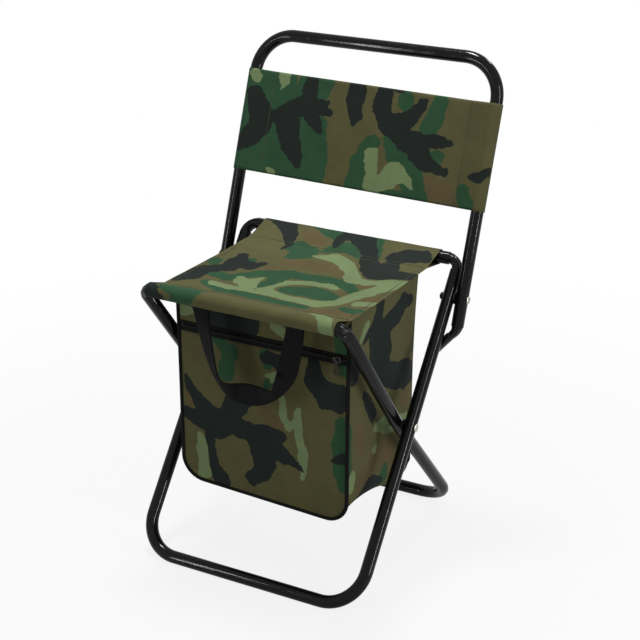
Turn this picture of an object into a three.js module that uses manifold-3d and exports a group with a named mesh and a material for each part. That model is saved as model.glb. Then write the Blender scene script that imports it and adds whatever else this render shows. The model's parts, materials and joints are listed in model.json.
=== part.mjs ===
// Folding cooler stool with a cloth backrest and an insulated bag under its seat.
// Two bent tube frames cross like scissors and the seat cloth is sewn over their upper bars.
// A third bent tube carries the back band, and its lower ends hook behind the outer legs as a stop.
// Millimetres. +X is the width, +Y points to the rear, +Z is up, and the floor is at Z = 0.
import * as THREE from "three";
import { mergeVertices } from "three/addons/utils/BufferGeometryUtils.js";
import Module from "manifold-3d";

const wasm = await Module();
wasm.setup();

// Driving dimensions: tube frames
const TUBE_D = 16;
const TUBE_WALL = 0.9;
const TUBE_SIDES = 16;
const BEND_STEPS = 7;
const OUTER_WIDTH = 306;
const SEAT_HEIGHT = 365.5;
const SEAT_DEPTH = 272;
const BASE_DEPTH = 312;
const PIVOT_UP = 231;
const SEAT_BEND = 14;
const FOOT_BEND = 48;
const PIVOT_BEND = 400;
const SWAGE_LENGTH = 22;
const SWAGE_TAPER = 4;
const SWAGE_GRIP = 2;
const SWAGE_SHOW = 0.4;
const SWAGE_INSIDE = 0.3;
const SWAGE_OUTSIDE = 0.2;

// Driving dimensions: backrest
const BACK_PIVOT_DOWN = 49;
const BACK_LENGTH = 295;
const BACK_LEAN = THREE.MathUtils.degToRad(19.7);
const BACK_BEND = 50;
const HOOK_DROP = 42;
const HOOK_TURN = THREE.MathUtils.degToRad(36.6);
const HOOK_BEND = 24;
const HOOK_PAST = 1;
const HOOK_REST = 0.6;
const PLUG_DEPTH = 14;
const PLUG_CAP = 1.6;
const PLUG_CHAMFER = 1;
const PLUG_LEAD = 2;
const BAND_UP = 114;
const BAND_HEIGHT = 133;
const BAND_STITCH = 31;
const BAND_CLOTH = 1.6;

// Driving dimensions: rivets, bolts and washers
const RIVET_D = 6;
const RIVET_HEAD_D = 12;
const RIVET_HEAD_H = 2.6;
const RIVET_TAIL_D = 10;
const RIVET_TAIL_H = 1.3;
const BOLT_D = 6;
const BOLT_HEAD_D = 12.5;
const BOLT_HEAD_H = 3.2;
const BOLT_RIM = 1;
const NUT_D = 10.5;
const NUT_H = 5;
const NUT_TIP_D = 6.3;
const NUT_CROWN = 2.2;
const THREAD_DEPTH = 3.5;
const WASHER_D = 15;
const WASHER_T = 1;

// Driving dimensions: seat cloth
const CLOTH = 1.1;
const SEAT_CLOTH = 2;
const SEAT_CLEAR = 0.9;
const SEAT_SAG = 7;
const SEAT_FRONT_LIP = 5;
const SEAT_SHOULDER = 30;
const REAR_HEM_CLEAR = 11;

// Driving dimensions: bag, liner, piping, zip and handle
const BAG_CLEAR = 8.4;
const BAG_DEPTH = 178;
const BAG_SETBACK = 44;
const BAG_BOTTOM = 95;
const BAG_CORNER = 31;
const PIPING_D = 4.8;
const LINER_T = 3;
const ZIP_HEIGHT = 306.5;
const ZIP_TAPE = 3.8;
const ZIP_TAPE_T = 1;
const COIL_W = 4.2;
const COIL_T = 2.4;
const COIL_CREST = 1.7;
const SLIDER_LENGTH = 11;
const SLIDER_WIDTH = 8.6;
const SLIDER_PLATE = 1.4;
const SLIDER_END = 10.2;
const POST_D = 2.4;
const POST_CAP_D = 4.3;
const PULL_LENGTH = 17;
const PULL_WIDTH = 6.6;
const PULL_NECK = 5.3;
const PULL_T = 1.2;
const WEBBING_W = 23;
const WEBBING_T = 2.2;
const HANDLE_SPAN = 132;
const HANDLE_DROP = 111;
const HANDLE_STRAIGHT = 66;
const HANDLE_WAIST = 100;

// Clearances
const GAP = 0.3;
const RUNNING = 0.3;
const SWEEP = 1;
const HANDLE_GAP = 0.7;

// Values worked out from the driving dimensions
const TUBE_R = TUBE_D / 2;
const TUBE_REACH = TUBE_R / Math.cos(Math.PI / TUBE_SIDES);
const BORE_R = TUBE_R - TUBE_WALL;
const FRAME_STEP = 2 * TUBE_REACH + WASHER_T + 2 * GAP;
const OUTER_X = OUTER_WIDTH / 2;
const INNER_X = OUTER_X - FRAME_STEP;
const BACK_X = OUTER_X + FRAME_STEP;
const FOOT_Z = TUBE_R;
const LEG_RISE = SEAT_HEIGHT - FOOT_Z;
const LEG_ANGLE = Math.atan2(LEG_RISE, SEAT_DEPTH);
const LEG_LENGTH = Math.hypot(LEG_RISE, SEAT_DEPTH);
const onLeg = (along) => ({
  y: along * Math.cos(LEG_ANGLE),
  z: FOOT_Z + along * Math.sin(LEG_ANGLE),
});
const PIVOT = onLeg(PIVOT_UP);
const BACK_PIVOT = onLeg(LEG_LENGTH - BACK_PIVOT_DOWN);
const HEM_BORE = TUBE_REACH + GAP;
const HEM_R = HEM_BORE + CLOTH;
const FRONT_HEM_WIDTH = 2 * (INNER_X - SEAT_BEND);
const REAR_HEM_WIDTH = 2 * (OUTER_X - SEAT_BEND - REAR_HEM_CLEAR);
const LEG_INSIDE = INNER_X - TUBE_REACH;
const SEAT_WIDTH = 2 * (LEG_INSIDE - SEAT_CLEAR);
const BAG_X = LEG_INSIDE - BAG_CLEAR;
const BAG_REAR = BAG_SETBACK + BAG_DEPTH;
const PIPING_R = PIPING_D / 2;
const PIPING_SIDES = 8;
const PIPING_INSET = PIPING_R + PIPING_R / Math.cos(Math.PI / PIPING_SIDES) + GAP;
const PANEL_X = BAG_X - PIPING_INSET;
const SLIDER_AT = PANEL_X - SLIDER_END;
const PANEL_Y = BAG_SETBACK + PIPING_R - CLOTH / 2;
const PANEL_BOTTOM = BAG_BOTTOM + PIPING_INSET;
const PANEL_CORNER = BAG_CORNER - PIPING_INSET;
const FRONT_REACH = HEM_R;
const REAR_REACH = BACK_PIVOT.y + BACK_LENGTH * Math.sin(BACK_LEAN) + TUBE_REACH;
const CENTRE_Y = (REAR_REACH - FRONT_REACH) / 2;

// Finishes
const finish = (color, roughness, metalness) =>
  new THREE.MeshStandardMaterial({ color, roughness, metalness });
const BLACK_PAINT = finish(0x141516, 0.25, 0.3);
const NICKEL = finish(0xb9bab4, 0.3, 1);
const DARK_STEEL = finish(0x2a2b2b, 0.45, 0.8);
const NYLON = finish(0x1d1d1d, 0.6, 0);
const CAMO = finish(0x5a5a38, 0.9, 0);
const BLACK_CLOTH = finish(0x17181a, 0.85, 0);
const FOIL = finish(0xc4c6c8, 0.35, 0.6);

// A run of tube: straights joined by bends, with stations only where the run turns.
class BentRun extends THREE.Curve {
  constructor(corners) {
    super();
    this.stations = [];
    const last = corners.length - 1;
    corners.forEach(({ at, bend }, i) => {
      const before = i > 0 ? at.clone().sub(corners[i - 1].at).normalize() : null;
      const after = i < last ? corners[i + 1].at.clone().sub(at).normalize() : null;
      if (!before || !after) {
        this.stations.push({ point: at, tangent: before ?? after });
        return;
      }
      const turn = before.angleTo(after);
      const axis = before.clone().cross(after).normalize();
      const inward = axis.clone().cross(before);
      const start = at.clone().addScaledVector(before, -bend * Math.tan(turn / 2));
      const centre = start.clone().addScaledVector(inward, bend);
      const steps = Math.max(2, Math.round((BEND_STEPS * turn) / (Math.PI / 2)));
      for (let k = 0; k <= steps; k++) {
        const angle = (turn * k) / steps;
        const spoke = inward.clone().multiplyScalar(-bend).applyAxisAngle(axis, angle);
        const tangent = before.clone().applyAxisAngle(axis, angle);
        this.stations.push({ point: centre.clone().add(spoke), tangent });
      }
    });
  }
  get steps() {
    return this.stations.length - 1;
  }
  station(u) {
    return this.stations[Math.round(u * this.steps)];
  }
  getPoint(u) {
    return this.station(u).point.clone();
  }
  getPointAt(u) {
    return this.getPoint(u);
  }
  getTangentAt(u) {
    return this.station(u).tangent.clone();
  }
}

const corner = (x, y, z, bend = 0) => ({ at: new THREE.Vector3(x, y, z), bend });

// Points of a regular polygon whose flats lie at the given distance from its centre.
function polygon(flat, sides, turn) {
  const reach = flat / Math.cos(Math.PI / sides);
  const points = [];
  for (let i = 0; i < sides; i++) {
    const angle = turn + ((i + 0.5) * 2 * Math.PI) / sides;
    points.push(new THREE.Vector2(reach * Math.cos(angle), reach * Math.sin(angle)));
  }
  return points;
}

function ring(outer, outerSides, inner, innerSides, turn = 0) {
  const shape = new THREE.Shape(polygon(outer, outerSides, turn));
  shape.holes.push(new THREE.Path(polygon(inner, innerSides, turn)));
  return shape;
}

// Turn of the tube's section that lays one of its flats on the floor at the given station.
function flatDown(run, station) {
  const frames = run.computeFrenetFrames(run.steps, false);
  const down = new THREE.Vector3(0, 0, -1);
  return Math.atan2(down.dot(frames.binormals[station]), down.dot(frames.normals[station]));
}

function sweep(shape, run) {
  return new THREE.ExtrudeGeometry(shape, { steps: run.steps, extrudePath: run });
}

// Solids for cuts and joins
function solidOf(geometry) {
  const loose = geometry.index ? geometry.toNonIndexed() : geometry;
  const bare = new THREE.BufferGeometry();
  bare.setAttribute("position", loose.getAttribute("position"));
  const merged = mergeVertices(bare, 1e-4);
  const vertProperties = merged.getAttribute("position").array;
  const triVerts = new Uint32Array(merged.index.array);
  return new wasm.Manifold(new wasm.Mesh({ numProp: 3, vertProperties, triVerts }));
}

function geometryOf(solid) {
  const { vertProperties, triVerts } = solid.getMesh();
  const geometry = new THREE.BufferGeometry();
  geometry.setAttribute("position", new THREE.BufferAttribute(vertProperties, 3));
  geometry.setIndex(new THREE.BufferAttribute(triVerts, 1));
  return geometry;
}

// A drill along X that passes right through the object.
function drill(y, z, diameter) {
  const bit = new THREE.CylinderGeometry(diameter / 2, diameter / 2, 2 * BACK_X + 4 * TUBE_D, 12);
  bit.rotateZ(Math.PI / 2);
  bit.translate(0, y, z);
  return solidOf(bit);
}

// Extrusions along X of a profile drawn in Y and Z, and along Y of one drawn in X and Z
function alongX(shape, width, curveSegments = 8) {
  const options = { depth: width, bevelEnabled: false, curveSegments };
  const geometry = new THREE.ExtrudeGeometry(shape, options);
  const yAxis = new THREE.Vector3(0, 1, 0);
  const zAxis = new THREE.Vector3(0, 0, 1);
  const xAxis = new THREE.Vector3(1, 0, 0);
  geometry.applyMatrix4(new THREE.Matrix4().makeBasis(yAxis, zAxis, xAxis));
  geometry.translate(-width / 2, 0, 0);
  return geometry;
}

function alongY(shape, front, depth, curveSegments = 6) {
  const options = { depth, bevelEnabled: false, curveSegments };
  const geometry = new THREE.ExtrudeGeometry(shape, options);
  geometry.rotateX(Math.PI / 2);
  geometry.translate(0, front + depth, 0);
  return geometry;
}

function box(x, y, z) {
  const size = [x[1] - x[0], y[1] - y[0], z[1] - z[0]];
  const geometry = new THREE.BoxGeometry(...size);
  geometry.translate((x[0] + x[1]) / 2, (y[0] + y[1]) / 2, (z[0] + z[1]) / 2);
  return geometry;
}

// A turned piece along X: its profile holds pairs of radius and distance from the middle plane.
function turned(profile, side, sides = 16) {
  const points = profile.map(([radius, at]) => new THREE.Vector2(radius, at));
  const geometry = new THREE.LatheGeometry(points, sides);
  geometry.rotateZ(side > 0 ? -Math.PI / 2 : Math.PI / 2);
  return geometry;
}

function mesh(name, geometry, material) {
  const made = new THREE.Mesh(geometry, material);
  made.name = name;
  return made;
}

// Tube frames. Each leg frame is one tube whose swaged end slips into its other end
// in the middle of the seat bar, where the hem covers the joint.
function swagedEnd(y, z) {
  const wallInside = TUBE_R - TUBE_WALL + SWAGE_INSIDE;
  const wallOutside = TUBE_R - SWAGE_OUTSIDE;
  const neck = BORE_R - GAP;
  const neckBore = neck - TUBE_WALL;
  const grip = SWAGE_TAPER + SWAGE_GRIP;
  const start = SWAGE_TAPER - SWAGE_SHOW;
  const profile = [
    [wallInside, grip],
    [wallInside, start],
    [neckBore, -SWAGE_TAPER],
    [neckBore, -SWAGE_LENGTH],
    [neck, -SWAGE_LENGTH],
    [neck, -SWAGE_TAPER],
    [wallOutside, start],
    [wallOutside, grip],
    [wallInside, grip],
  ];
  const geometry = turned(profile, 1);
  geometry.translate(0, y, z);
  return solidOf(geometry);
}

function legFrame(corners, seatBar, holes) {
  const run = new BentRun(corners);
  const turn = flatDown(run, Math.floor(run.steps / 2));
  let tube = solidOf(sweep(ring(TUBE_R, TUBE_SIDES, BORE_R, TUBE_SIDES, turn), run));
  tube = tube.add(swagedEnd(seatBar.y, seatBar.z));
  for (const hole of holes) tube = tube.subtract(hole);
  return geometryOf(tube);
}

const mirrored = (half) => [
  ...half,
  ...half
    .slice()
    .reverse()
    .map(({ at, bend }) => corner(-at.x, at.y, at.z, bend)),
];
const pivotHole = drill(PIVOT.y, PIVOT.z, RIVET_D + 2 * RUNNING);
const backHole = drill(BACK_PIVOT.y, BACK_PIVOT.z, BOLT_D + 2 * RUNNING);

function outerLegFrame() {
  const corners = mirrored([
    corner(SWAGE_TAPER, SEAT_DEPTH, SEAT_HEIGHT),
    corner(OUTER_X, SEAT_DEPTH, SEAT_HEIGHT, SEAT_BEND),
    corner(OUTER_X, 0, FOOT_Z, FOOT_BEND),
  ]);
  const seatBar = { y: SEAT_DEPTH, z: SEAT_HEIGHT };
  return legFrame(corners, seatBar, [pivotHole, backHole]);
}

function innerLegFrame() {
  const corners = mirrored([
    corner(SWAGE_TAPER, 0, SEAT_HEIGHT),
    corner(INNER_X, 0, SEAT_HEIGHT, SEAT_BEND),
    corner(INNER_X, PIVOT.y, PIVOT.z, PIVOT_BEND),
    corner(INNER_X, BASE_DEPTH, FOOT_Z, FOOT_BEND),
  ]);
  return legFrame(corners, { y: 0, z: SEAT_HEIGHT }, [pivotHole]);
}

// Backrest, drawn in the plane of its uprights with its pivot bolts at Z = 0
const HOOK_TIP_X = OUTER_X - HOOK_PAST;
const HOOK_TIP_Z = -HOOK_DROP - (BACK_X - HOOK_TIP_X) / Math.tan(HOOK_TURN);
const LEG_LEAN = Math.PI / 2 - LEG_ANGLE - BACK_LEAN;
const HOOK_STAND_OFF = 2 * TUBE_REACH + HOOK_REST;
const HOOK_TIP_Y = (HOOK_STAND_OFF + HOOK_TIP_Z * Math.sin(LEG_LEAN)) / Math.cos(LEG_LEAN);

const backRun = new BentRun(
  mirrored([
    corner(-HOOK_TIP_X, HOOK_TIP_Y, HOOK_TIP_Z),
    corner(-BACK_X, 0, -HOOK_DROP, HOOK_BEND),
    corner(-BACK_X, 0, BACK_LENGTH, BACK_BEND),
  ]),
);

function backrestFrame() {
  const tube = solidOf(sweep(ring(TUBE_R, TUBE_SIDES, BORE_R, TUBE_SIDES), backRun));
  return geometryOf(tube.subtract(drill(0, 0, BOLT_D + 2 * RUNNING)));
}

function hookPlug(side) {
  const end = backRun.stations[side > 0 ? backRun.steps : 0];
  const outward = end.tangent.clone().multiplyScalar(side);
  const stem = BORE_R - GAP;
  const profile = [
    [0, -PLUG_DEPTH],
    [stem - PLUG_CHAMFER, -PLUG_DEPTH],
    [stem, -PLUG_DEPTH + PLUG_LEAD],
    [stem, GAP],
    [TUBE_R, GAP],
    [TUBE_R, GAP + PLUG_CAP / 2],
    [TUBE_R - PLUG_CHAMFER, GAP + PLUG_CAP],
    [0, GAP + PLUG_CAP],
  ].map(([radius, at]) => new THREE.Vector2(radius, at));
  const geometry = new THREE.LatheGeometry(profile, TUBE_SIDES);
  const up = new THREE.Vector3(0, 1, 0);
  geometry.applyQuaternion(new THREE.Quaternion().setFromUnitVectors(up, outward));
  geometry.translate(end.point.x, end.point.y, end.point.z);
  return geometry;
}

// Outline of the back band seen along its uprights: a strip that opens into a tunnel at each end.
function tunnelLoop(path, stitchX, half, radius) {
  const lean = Math.atan2(half, stitchX - BACK_X);
  const spread = Math.acos(radius / Math.hypot(BACK_X - stitchX, half));
  const first = lean - spread;
  path.lineTo(stitchX, -half);
  path.absarc(BACK_X, 0, radius, -first, first, false);
  path.lineTo(stitchX, half);
}

function backrestBand() {
  const stitchX = BACK_X - BAND_STITCH;
  const half = BAND_CLOTH / 2;
  const right = new THREE.Path();
  right.moveTo(0, -half);
  tunnelLoop(right, stitchX, half, HEM_BORE + BAND_CLOTH);
  right.lineTo(0, half);
  const rightPoints = right.getPoints(10);
  const leftPoints = rightPoints.slice(1, -1).reverse();
  const outline = new THREE.Shape([
    ...rightPoints,
    ...leftPoints.map((p) => new THREE.Vector2(-p.x, p.y)),
  ]);
  const hole = new THREE.Path();
  hole.moveTo(stitchX + BAND_CLOTH, 0);
  tunnelLoop(hole, stitchX + BAND_CLOTH, 0, HEM_BORE);
  const holePoints = hole.getPoints(10).slice(0, -1);
  outline.holes.push(new THREE.Path(holePoints));
  outline.holes.push(new THREE.Path(holePoints.map((p) => new THREE.Vector2(-p.x, p.y))));
  const options = { depth: BAND_HEIGHT, bevelEnabled: false };
  const geometry = new THREE.ExtrudeGeometry(outline, options);
  geometry.translate(0, 0, BAND_UP);
  return geometry;
}

// Rivets, bolts, nuts and washers, each drawn outwards from the middle plane
const DOME_STEPS = 3;
function dome(radius, height, at) {
  return Array.from({ length: DOME_STEPS + 1 }, (_, i) => {
    const angle = (i * Math.PI) / (2 * DOME_STEPS);
    const reach = i === DOME_STEPS ? 0 : radius * Math.cos(angle);
    return [reach, at + height * Math.sin(angle)];
  });
}

function pivotRivet(side) {
  const shank = RIVET_D / 2;
  const tail = RIVET_TAIL_D / 2;
  const inside = INNER_X - TUBE_REACH - GAP;
  const outside = OUTER_X + TUBE_REACH + GAP;
  const geometry = turned(
    [
      [0, inside - RIVET_TAIL_H],
      [tail, inside - RIVET_TAIL_H],
      [tail, inside],
      [shank, inside],
      [shank, outside],
      ...dome(RIVET_HEAD_D / 2, RIVET_HEAD_H, outside),
    ],
    side,
  );
  geometry.translate(0, PIVOT.y, PIVOT.z);
  return geometry;
}

function washer(side, innerX, hole, at) {
  const bore = hole / 2 + GAP;
  const start = innerX + TUBE_REACH + GAP;
  const end = start + WASHER_T;
  const profile = [
    [bore, start],
    [WASHER_D / 2, start],
    [WASHER_D / 2, end],
    [bore, end],
    [bore, start],
  ];
  const geometry = turned(profile, side);
  geometry.translate(0, at.y, at.z);
  return geometry;
}

function backrestBolt(side) {
  const shank = BOLT_D / 2;
  const head = BOLT_HEAD_D / 2;
  const outside = BACK_X + TUBE_REACH + GAP;
  const end = OUTER_X - TUBE_REACH - GAP - THREAD_DEPTH;
  const geometry = turned(
    [
      [0, end],
      [shank, end],
      [shank, outside],
      [head, outside],
      ...dome(head, BOLT_HEAD_H - BOLT_RIM, outside + BOLT_RIM),
    ],
    side,
  );
  geometry.translate(0, BACK_PIVOT.y, BACK_PIVOT.z);
  return geometry;
}

// Cap nut, closed over the bolt's end, with six flats and a domed end
function backrestNut(side) {
  const flats = 6;
  const thread = (BOLT_D / 2 + GAP) / Math.cos(Math.PI / flats);
  const seat = OUTER_X - TUBE_REACH - GAP;
  const depth = seat - THREAD_DEPTH - GAP;
  const geometry = turned(
    [
      [0, seat - NUT_H],
      [NUT_TIP_D / 2, seat - NUT_H],
      [NUT_D / 2, seat - NUT_H + NUT_CROWN],
      [NUT_D / 2, seat],
      [thread, seat],
      [thread, depth],
      [0, depth],
    ],
    side,
    flats,
  );
  geometry.translate(0, BACK_PIVOT.y, BACK_PIVOT.z);
  return geometry;
}

// Seat cloth. It stays inside the path of the front bar's hem when the frames fold.
const FRONT_SWEEP = Math.hypot(PIVOT.y, SEAT_HEIGHT - PIVOT.z) - HEM_R - SWEEP - SEAT_CLOTH / 2;
const SEAT_FRONT_Z = SEAT_HEIGHT - SEAT_FRONT_LIP;
const SEAT_FRONT_Y = PIVOT.y - Math.sqrt(FRONT_SWEEP ** 2 - (SEAT_FRONT_Z - PIVOT.z) ** 2);
const SEAT_REAR_Y = SEAT_DEPTH - HEM_R - 2 * GAP;
const SEAT_REAR_Z = SEAT_HEIGHT + SEAT_CLOTH / 2;
const seatLine = new THREE.SplineCurve([
  new THREE.Vector2(SEAT_FRONT_Y, SEAT_FRONT_Z),
  new THREE.Vector2(SEAT_FRONT_Y + SEAT_SHOULDER, SEAT_HEIGHT),
  new THREE.Vector2((SEAT_FRONT_Y + SEAT_REAR_Y) / 2, SEAT_HEIGHT + SEAT_CLOTH - SEAT_SAG),
  new THREE.Vector2(SEAT_REAR_Y - SEAT_SHOULDER, SEAT_HEIGHT),
  new THREE.Vector2(SEAT_REAR_Y, SEAT_REAR_Z),
]);
const SEAT_STEPS = 24;
const seatPoints = seatLine.getPoints(SEAT_STEPS);

// Height of the seat cloth's underside at a distance behind the front bar
function seatUnderside(y) {
  const next = seatPoints.findIndex((p) => p.x >= y);
  const after = seatPoints[Math.max(next, 1)];
  const before = seatPoints[Math.max(next, 1) - 1];
  const share = (y - before.x) / (after.x - before.x);
  return THREE.MathUtils.lerp(before.y, after.y, share) - SEAT_CLOTH / 2;
}

function seatPanel() {
  const top = seatPoints.map((p) => new THREE.Vector2(p.x, p.y + SEAT_CLOTH / 2));
  const bottom = seatPoints.map((p) => new THREE.Vector2(p.x, p.y - SEAT_CLOTH / 2)).reverse();
  const cloth = solidOf(alongX(new THREE.Shape([...bottom, ...top]), SEAT_WIDTH));
  const notchX = FRONT_HEM_WIDTH / 2 - SWEEP;
  const notchY = SEAT_FRONT_Y + SEAT_BEND + TUBE_R;
  const height = [SEAT_HEIGHT - TUBE_D, SEAT_HEIGHT + TUBE_D];
  const right = solidOf(box([notchX, SEAT_WIDTH], [-TUBE_D, notchY], height));
  const left = solidOf(box([-SEAT_WIDTH, -notchX], [-TUBE_D, notchY], height));
  return geometryOf(cloth.subtract(right).subtract(left));
}

function seatHem(y, width) {
  const geometry = alongX(ring(HEM_R, TUBE_SIDES, HEM_BORE, TUBE_SIDES), width);
  geometry.translate(0, y, SEAT_HEIGHT);
  return geometry;
}

// Bag. Its panels hang from the seat cloth, with piping round the front and the rear edge.
function panelShape(halfWidth, bottom, top, radius) {
  const shape = new THREE.Shape();
  shape.moveTo(-halfWidth, top);
  shape.lineTo(-halfWidth, bottom + radius);
  shape.absarc(-halfWidth + radius, bottom + radius, radius, Math.PI, 1.5 * Math.PI, false);
  shape.absarc(halfWidth - radius, bottom + radius, radius, 1.5 * Math.PI, 2 * Math.PI, false);
  shape.lineTo(halfWidth, top);
  return shape;
}

function stripShape(halfWidth, bottom, top) {
  const shape = new THREE.Shape();
  shape.moveTo(-halfWidth, top);
  shape.lineTo(-halfWidth, bottom);
  shape.lineTo(halfWidth, bottom);
  shape.lineTo(halfWidth, top);
  return shape;
}

// A strip bent to a U round the bag's sides and bottom
function channel(halfWidth, bottom, top, radius, thickness, front, depth) {
  const outer = solidOf(alongY(panelShape(halfWidth, bottom, top, radius), front, depth));
  const inner = panelShape(
    halfWidth - thickness,
    bottom + thickness,
    top + thickness,
    radius - thickness,
  );
  return geometryOf(outer.subtract(solidOf(alongY(inner, front - 1, depth + 2))));
}

function piping(y, top) {
  const x = BAG_X - PIPING_R;
  const bottom = BAG_BOTTOM + PIPING_R;
  const bend = BAG_CORNER - PIPING_R;
  const run = new BentRun([
    corner(-x, y, top),
    corner(-x, y, bottom, bend),
    corner(x, y, bottom, bend),
    corner(x, y, top),
  ]);
  return sweep(new THREE.Shape(polygon(PIPING_R, PIPING_SIDES, 0)), run);
}

const GUSSET_FRONT = BAG_SETBACK + PIPING_INSET;
const GUSSET_REAR = BAG_REAR - PIPING_INSET;
const GUSSET_TOP = seatUnderside((SEAT_FRONT_Y + SEAT_REAR_Y) / 2) - GAP;
const FRONT_TOP = seatUnderside(PANEL_Y) - GAP;
const REAR_PANEL_Y = BAG_REAR - PIPING_R - CLOTH / 2;
const REAR_TOP = seatUnderside(REAR_PANEL_Y + CLOTH) - GAP;
const ZIP_HALF = COIL_W / 2 + GAP;
const ZIP_EDGE = ZIP_HALF + ZIP_TAPE + GAP;
const LINER_GAP = CLOTH + GAP;
const LINER_X = BAG_X - LINER_GAP;
const LINER_BOTTOM = BAG_BOTTOM + LINER_GAP;
const LINER_CORNER = BAG_CORNER - LINER_GAP;

function bagFrontLower() {
  const top = ZIP_HEIGHT - ZIP_EDGE;
  return alongY(panelShape(PANEL_X, PANEL_BOTTOM, top, PANEL_CORNER), PANEL_Y, CLOTH);
}

function bagFrontUpper() {
  return alongY(stripShape(PANEL_X, ZIP_HEIGHT + ZIP_EDGE, FRONT_TOP), PANEL_Y, CLOTH);
}

function bagBack() {
  return alongY(panelShape(PANEL_X, PANEL_BOTTOM, REAR_TOP, PANEL_CORNER), REAR_PANEL_Y, CLOTH);
}

function bagGusset() {
  const depth = GUSSET_REAR - GUSSET_FRONT;
  return channel(BAG_X, BAG_BOTTOM, GUSSET_TOP, BAG_CORNER, CLOTH, GUSSET_FRONT, depth);
}

function linerGusset() {
  const depth = GUSSET_REAR - GUSSET_FRONT;
  return channel(LINER_X, LINER_BOTTOM, GUSSET_TOP, LINER_CORNER, LINER_T, GUSSET_FRONT, depth);
}

// The liner's front sheet stops below the zip, so that the bag opens above it.
function linerFront() {
  const shape = panelShape(PANEL_X, PANEL_BOTTOM, ZIP_HEIGHT - ZIP_EDGE, PANEL_CORNER);
  return alongY(shape, PANEL_Y + CLOTH + GAP, LINER_T);
}

function linerBack() {
  const shape = panelShape(PANEL_X, PANEL_BOTTOM, GUSSET_TOP, PANEL_CORNER);
  return alongY(shape, REAR_PANEL_Y - GAP - LINER_T, LINER_T);
}

// Zip: a tape along each edge, the closed coil between them, and the slider that rides on the coil
const TAPE_Y = PANEL_Y;
const COIL_Y = TAPE_Y + ZIP_TAPE_T - COIL_T;

function zipTape(side) {
  const near = ZIP_HEIGHT + side * ZIP_HALF;
  const far = ZIP_HEIGHT + side * (ZIP_HALF + ZIP_TAPE);
  const heights = [Math.min(near, far), Math.max(near, far)];
  return box([-PANEL_X, PANEL_X], [TAPE_Y, TAPE_Y + ZIP_TAPE_T], heights);
}

function zipCoil() {
  const half = COIL_W / 2;
  const shape = new THREE.Shape();
  shape.moveTo(COIL_Y + COIL_T, ZIP_HEIGHT - half);
  shape.lineTo(COIL_Y + COIL_T, ZIP_HEIGHT + half);
  shape.lineTo(COIL_Y + COIL_T / 2, ZIP_HEIGHT + half);
  shape.lineTo(COIL_Y, ZIP_HEIGHT + COIL_CREST / 2);
  shape.lineTo(COIL_Y, ZIP_HEIGHT - COIL_CREST / 2);
  shape.lineTo(COIL_Y + COIL_T / 2, ZIP_HEIGHT - half);
  return alongX(shape, 2 * PANEL_X);
}

const SLIDER_BACK = TAPE_Y - GAP;
const SLIDER_FACE = COIL_Y - GAP - SLIDER_PLATE;
const POST_REACH = PULL_T + 2 * GAP;

// The slider's post stands out of its face and keeps the pull on under a round cap.
function zipSlider() {
  const half = SLIDER_WIDTH / 2;
  const shape = new THREE.Shape();
  shape.moveTo(SLIDER_FACE, -half + SLIDER_PLATE);
  shape.lineTo(SLIDER_FACE + SLIDER_PLATE, -half);
  shape.lineTo(SLIDER_BACK, -half);
  shape.lineTo(SLIDER_BACK, -ZIP_HALF);
  shape.lineTo(COIL_Y - GAP, -ZIP_HALF);
  shape.lineTo(COIL_Y - GAP, ZIP_HALF);
  shape.lineTo(SLIDER_BACK, ZIP_HALF);
  shape.lineTo(SLIDER_BACK, half);
  shape.lineTo(SLIDER_FACE + SLIDER_PLATE, half);
  shape.lineTo(SLIDER_FACE, half - SLIDER_PLATE);
  const body = solidOf(alongX(shape, SLIDER_LENGTH));
  const root = SLIDER_PLATE / 2;
  const profile = [
    [0, -root],
    [POST_D / 2, -root],
    [POST_D / 2, POST_REACH],
    [POST_CAP_D / 2, POST_REACH],
    [POST_CAP_D / 2, POST_REACH + SLIDER_PLATE / 2],
    [0, POST_REACH + SLIDER_PLATE],
  ].map(([radius, at]) => new THREE.Vector2(radius, at));
  const post = new THREE.LatheGeometry(profile, 12);
  post.rotateX(Math.PI);
  post.translate(0, SLIDER_FACE, 0);
  const geometry = geometryOf(body.add(solidOf(post)));
  geometry.translate(SLIDER_AT, 0, ZIP_HEIGHT);
  return geometry;
}

function zipPull() {
  const half = PULL_WIDTH / 2;
  const shape = new THREE.Shape();
  const neck = PULL_NECK / 2;
  const low = neck + half - PULL_LENGTH;
  shape.absarc(0, 0, neck, 0, Math.PI, false);
  shape.absarc(0, low, half, Math.PI, 2 * Math.PI, false);
  const eye = new THREE.Path();
  eye.absarc(0, 0, POST_D / 2 + GAP, 0, 2 * Math.PI, true);
  shape.holes.push(eye);
  const geometry = alongY(shape, SLIDER_FACE - GAP - PULL_T, PULL_T, 8);
  geometry.translate(SLIDER_AT, 0, ZIP_HEIGHT);
  return geometry;
}

// Carrying handle: a webbing strap hanging from the seat's front seam in a flat U
const HANDLE_Y = SEAT_FRONT_Y + WEBBING_T / 2;
const HANDLE_TOP = seatUnderside(SEAT_FRONT_Y) - HANDLE_GAP;

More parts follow.
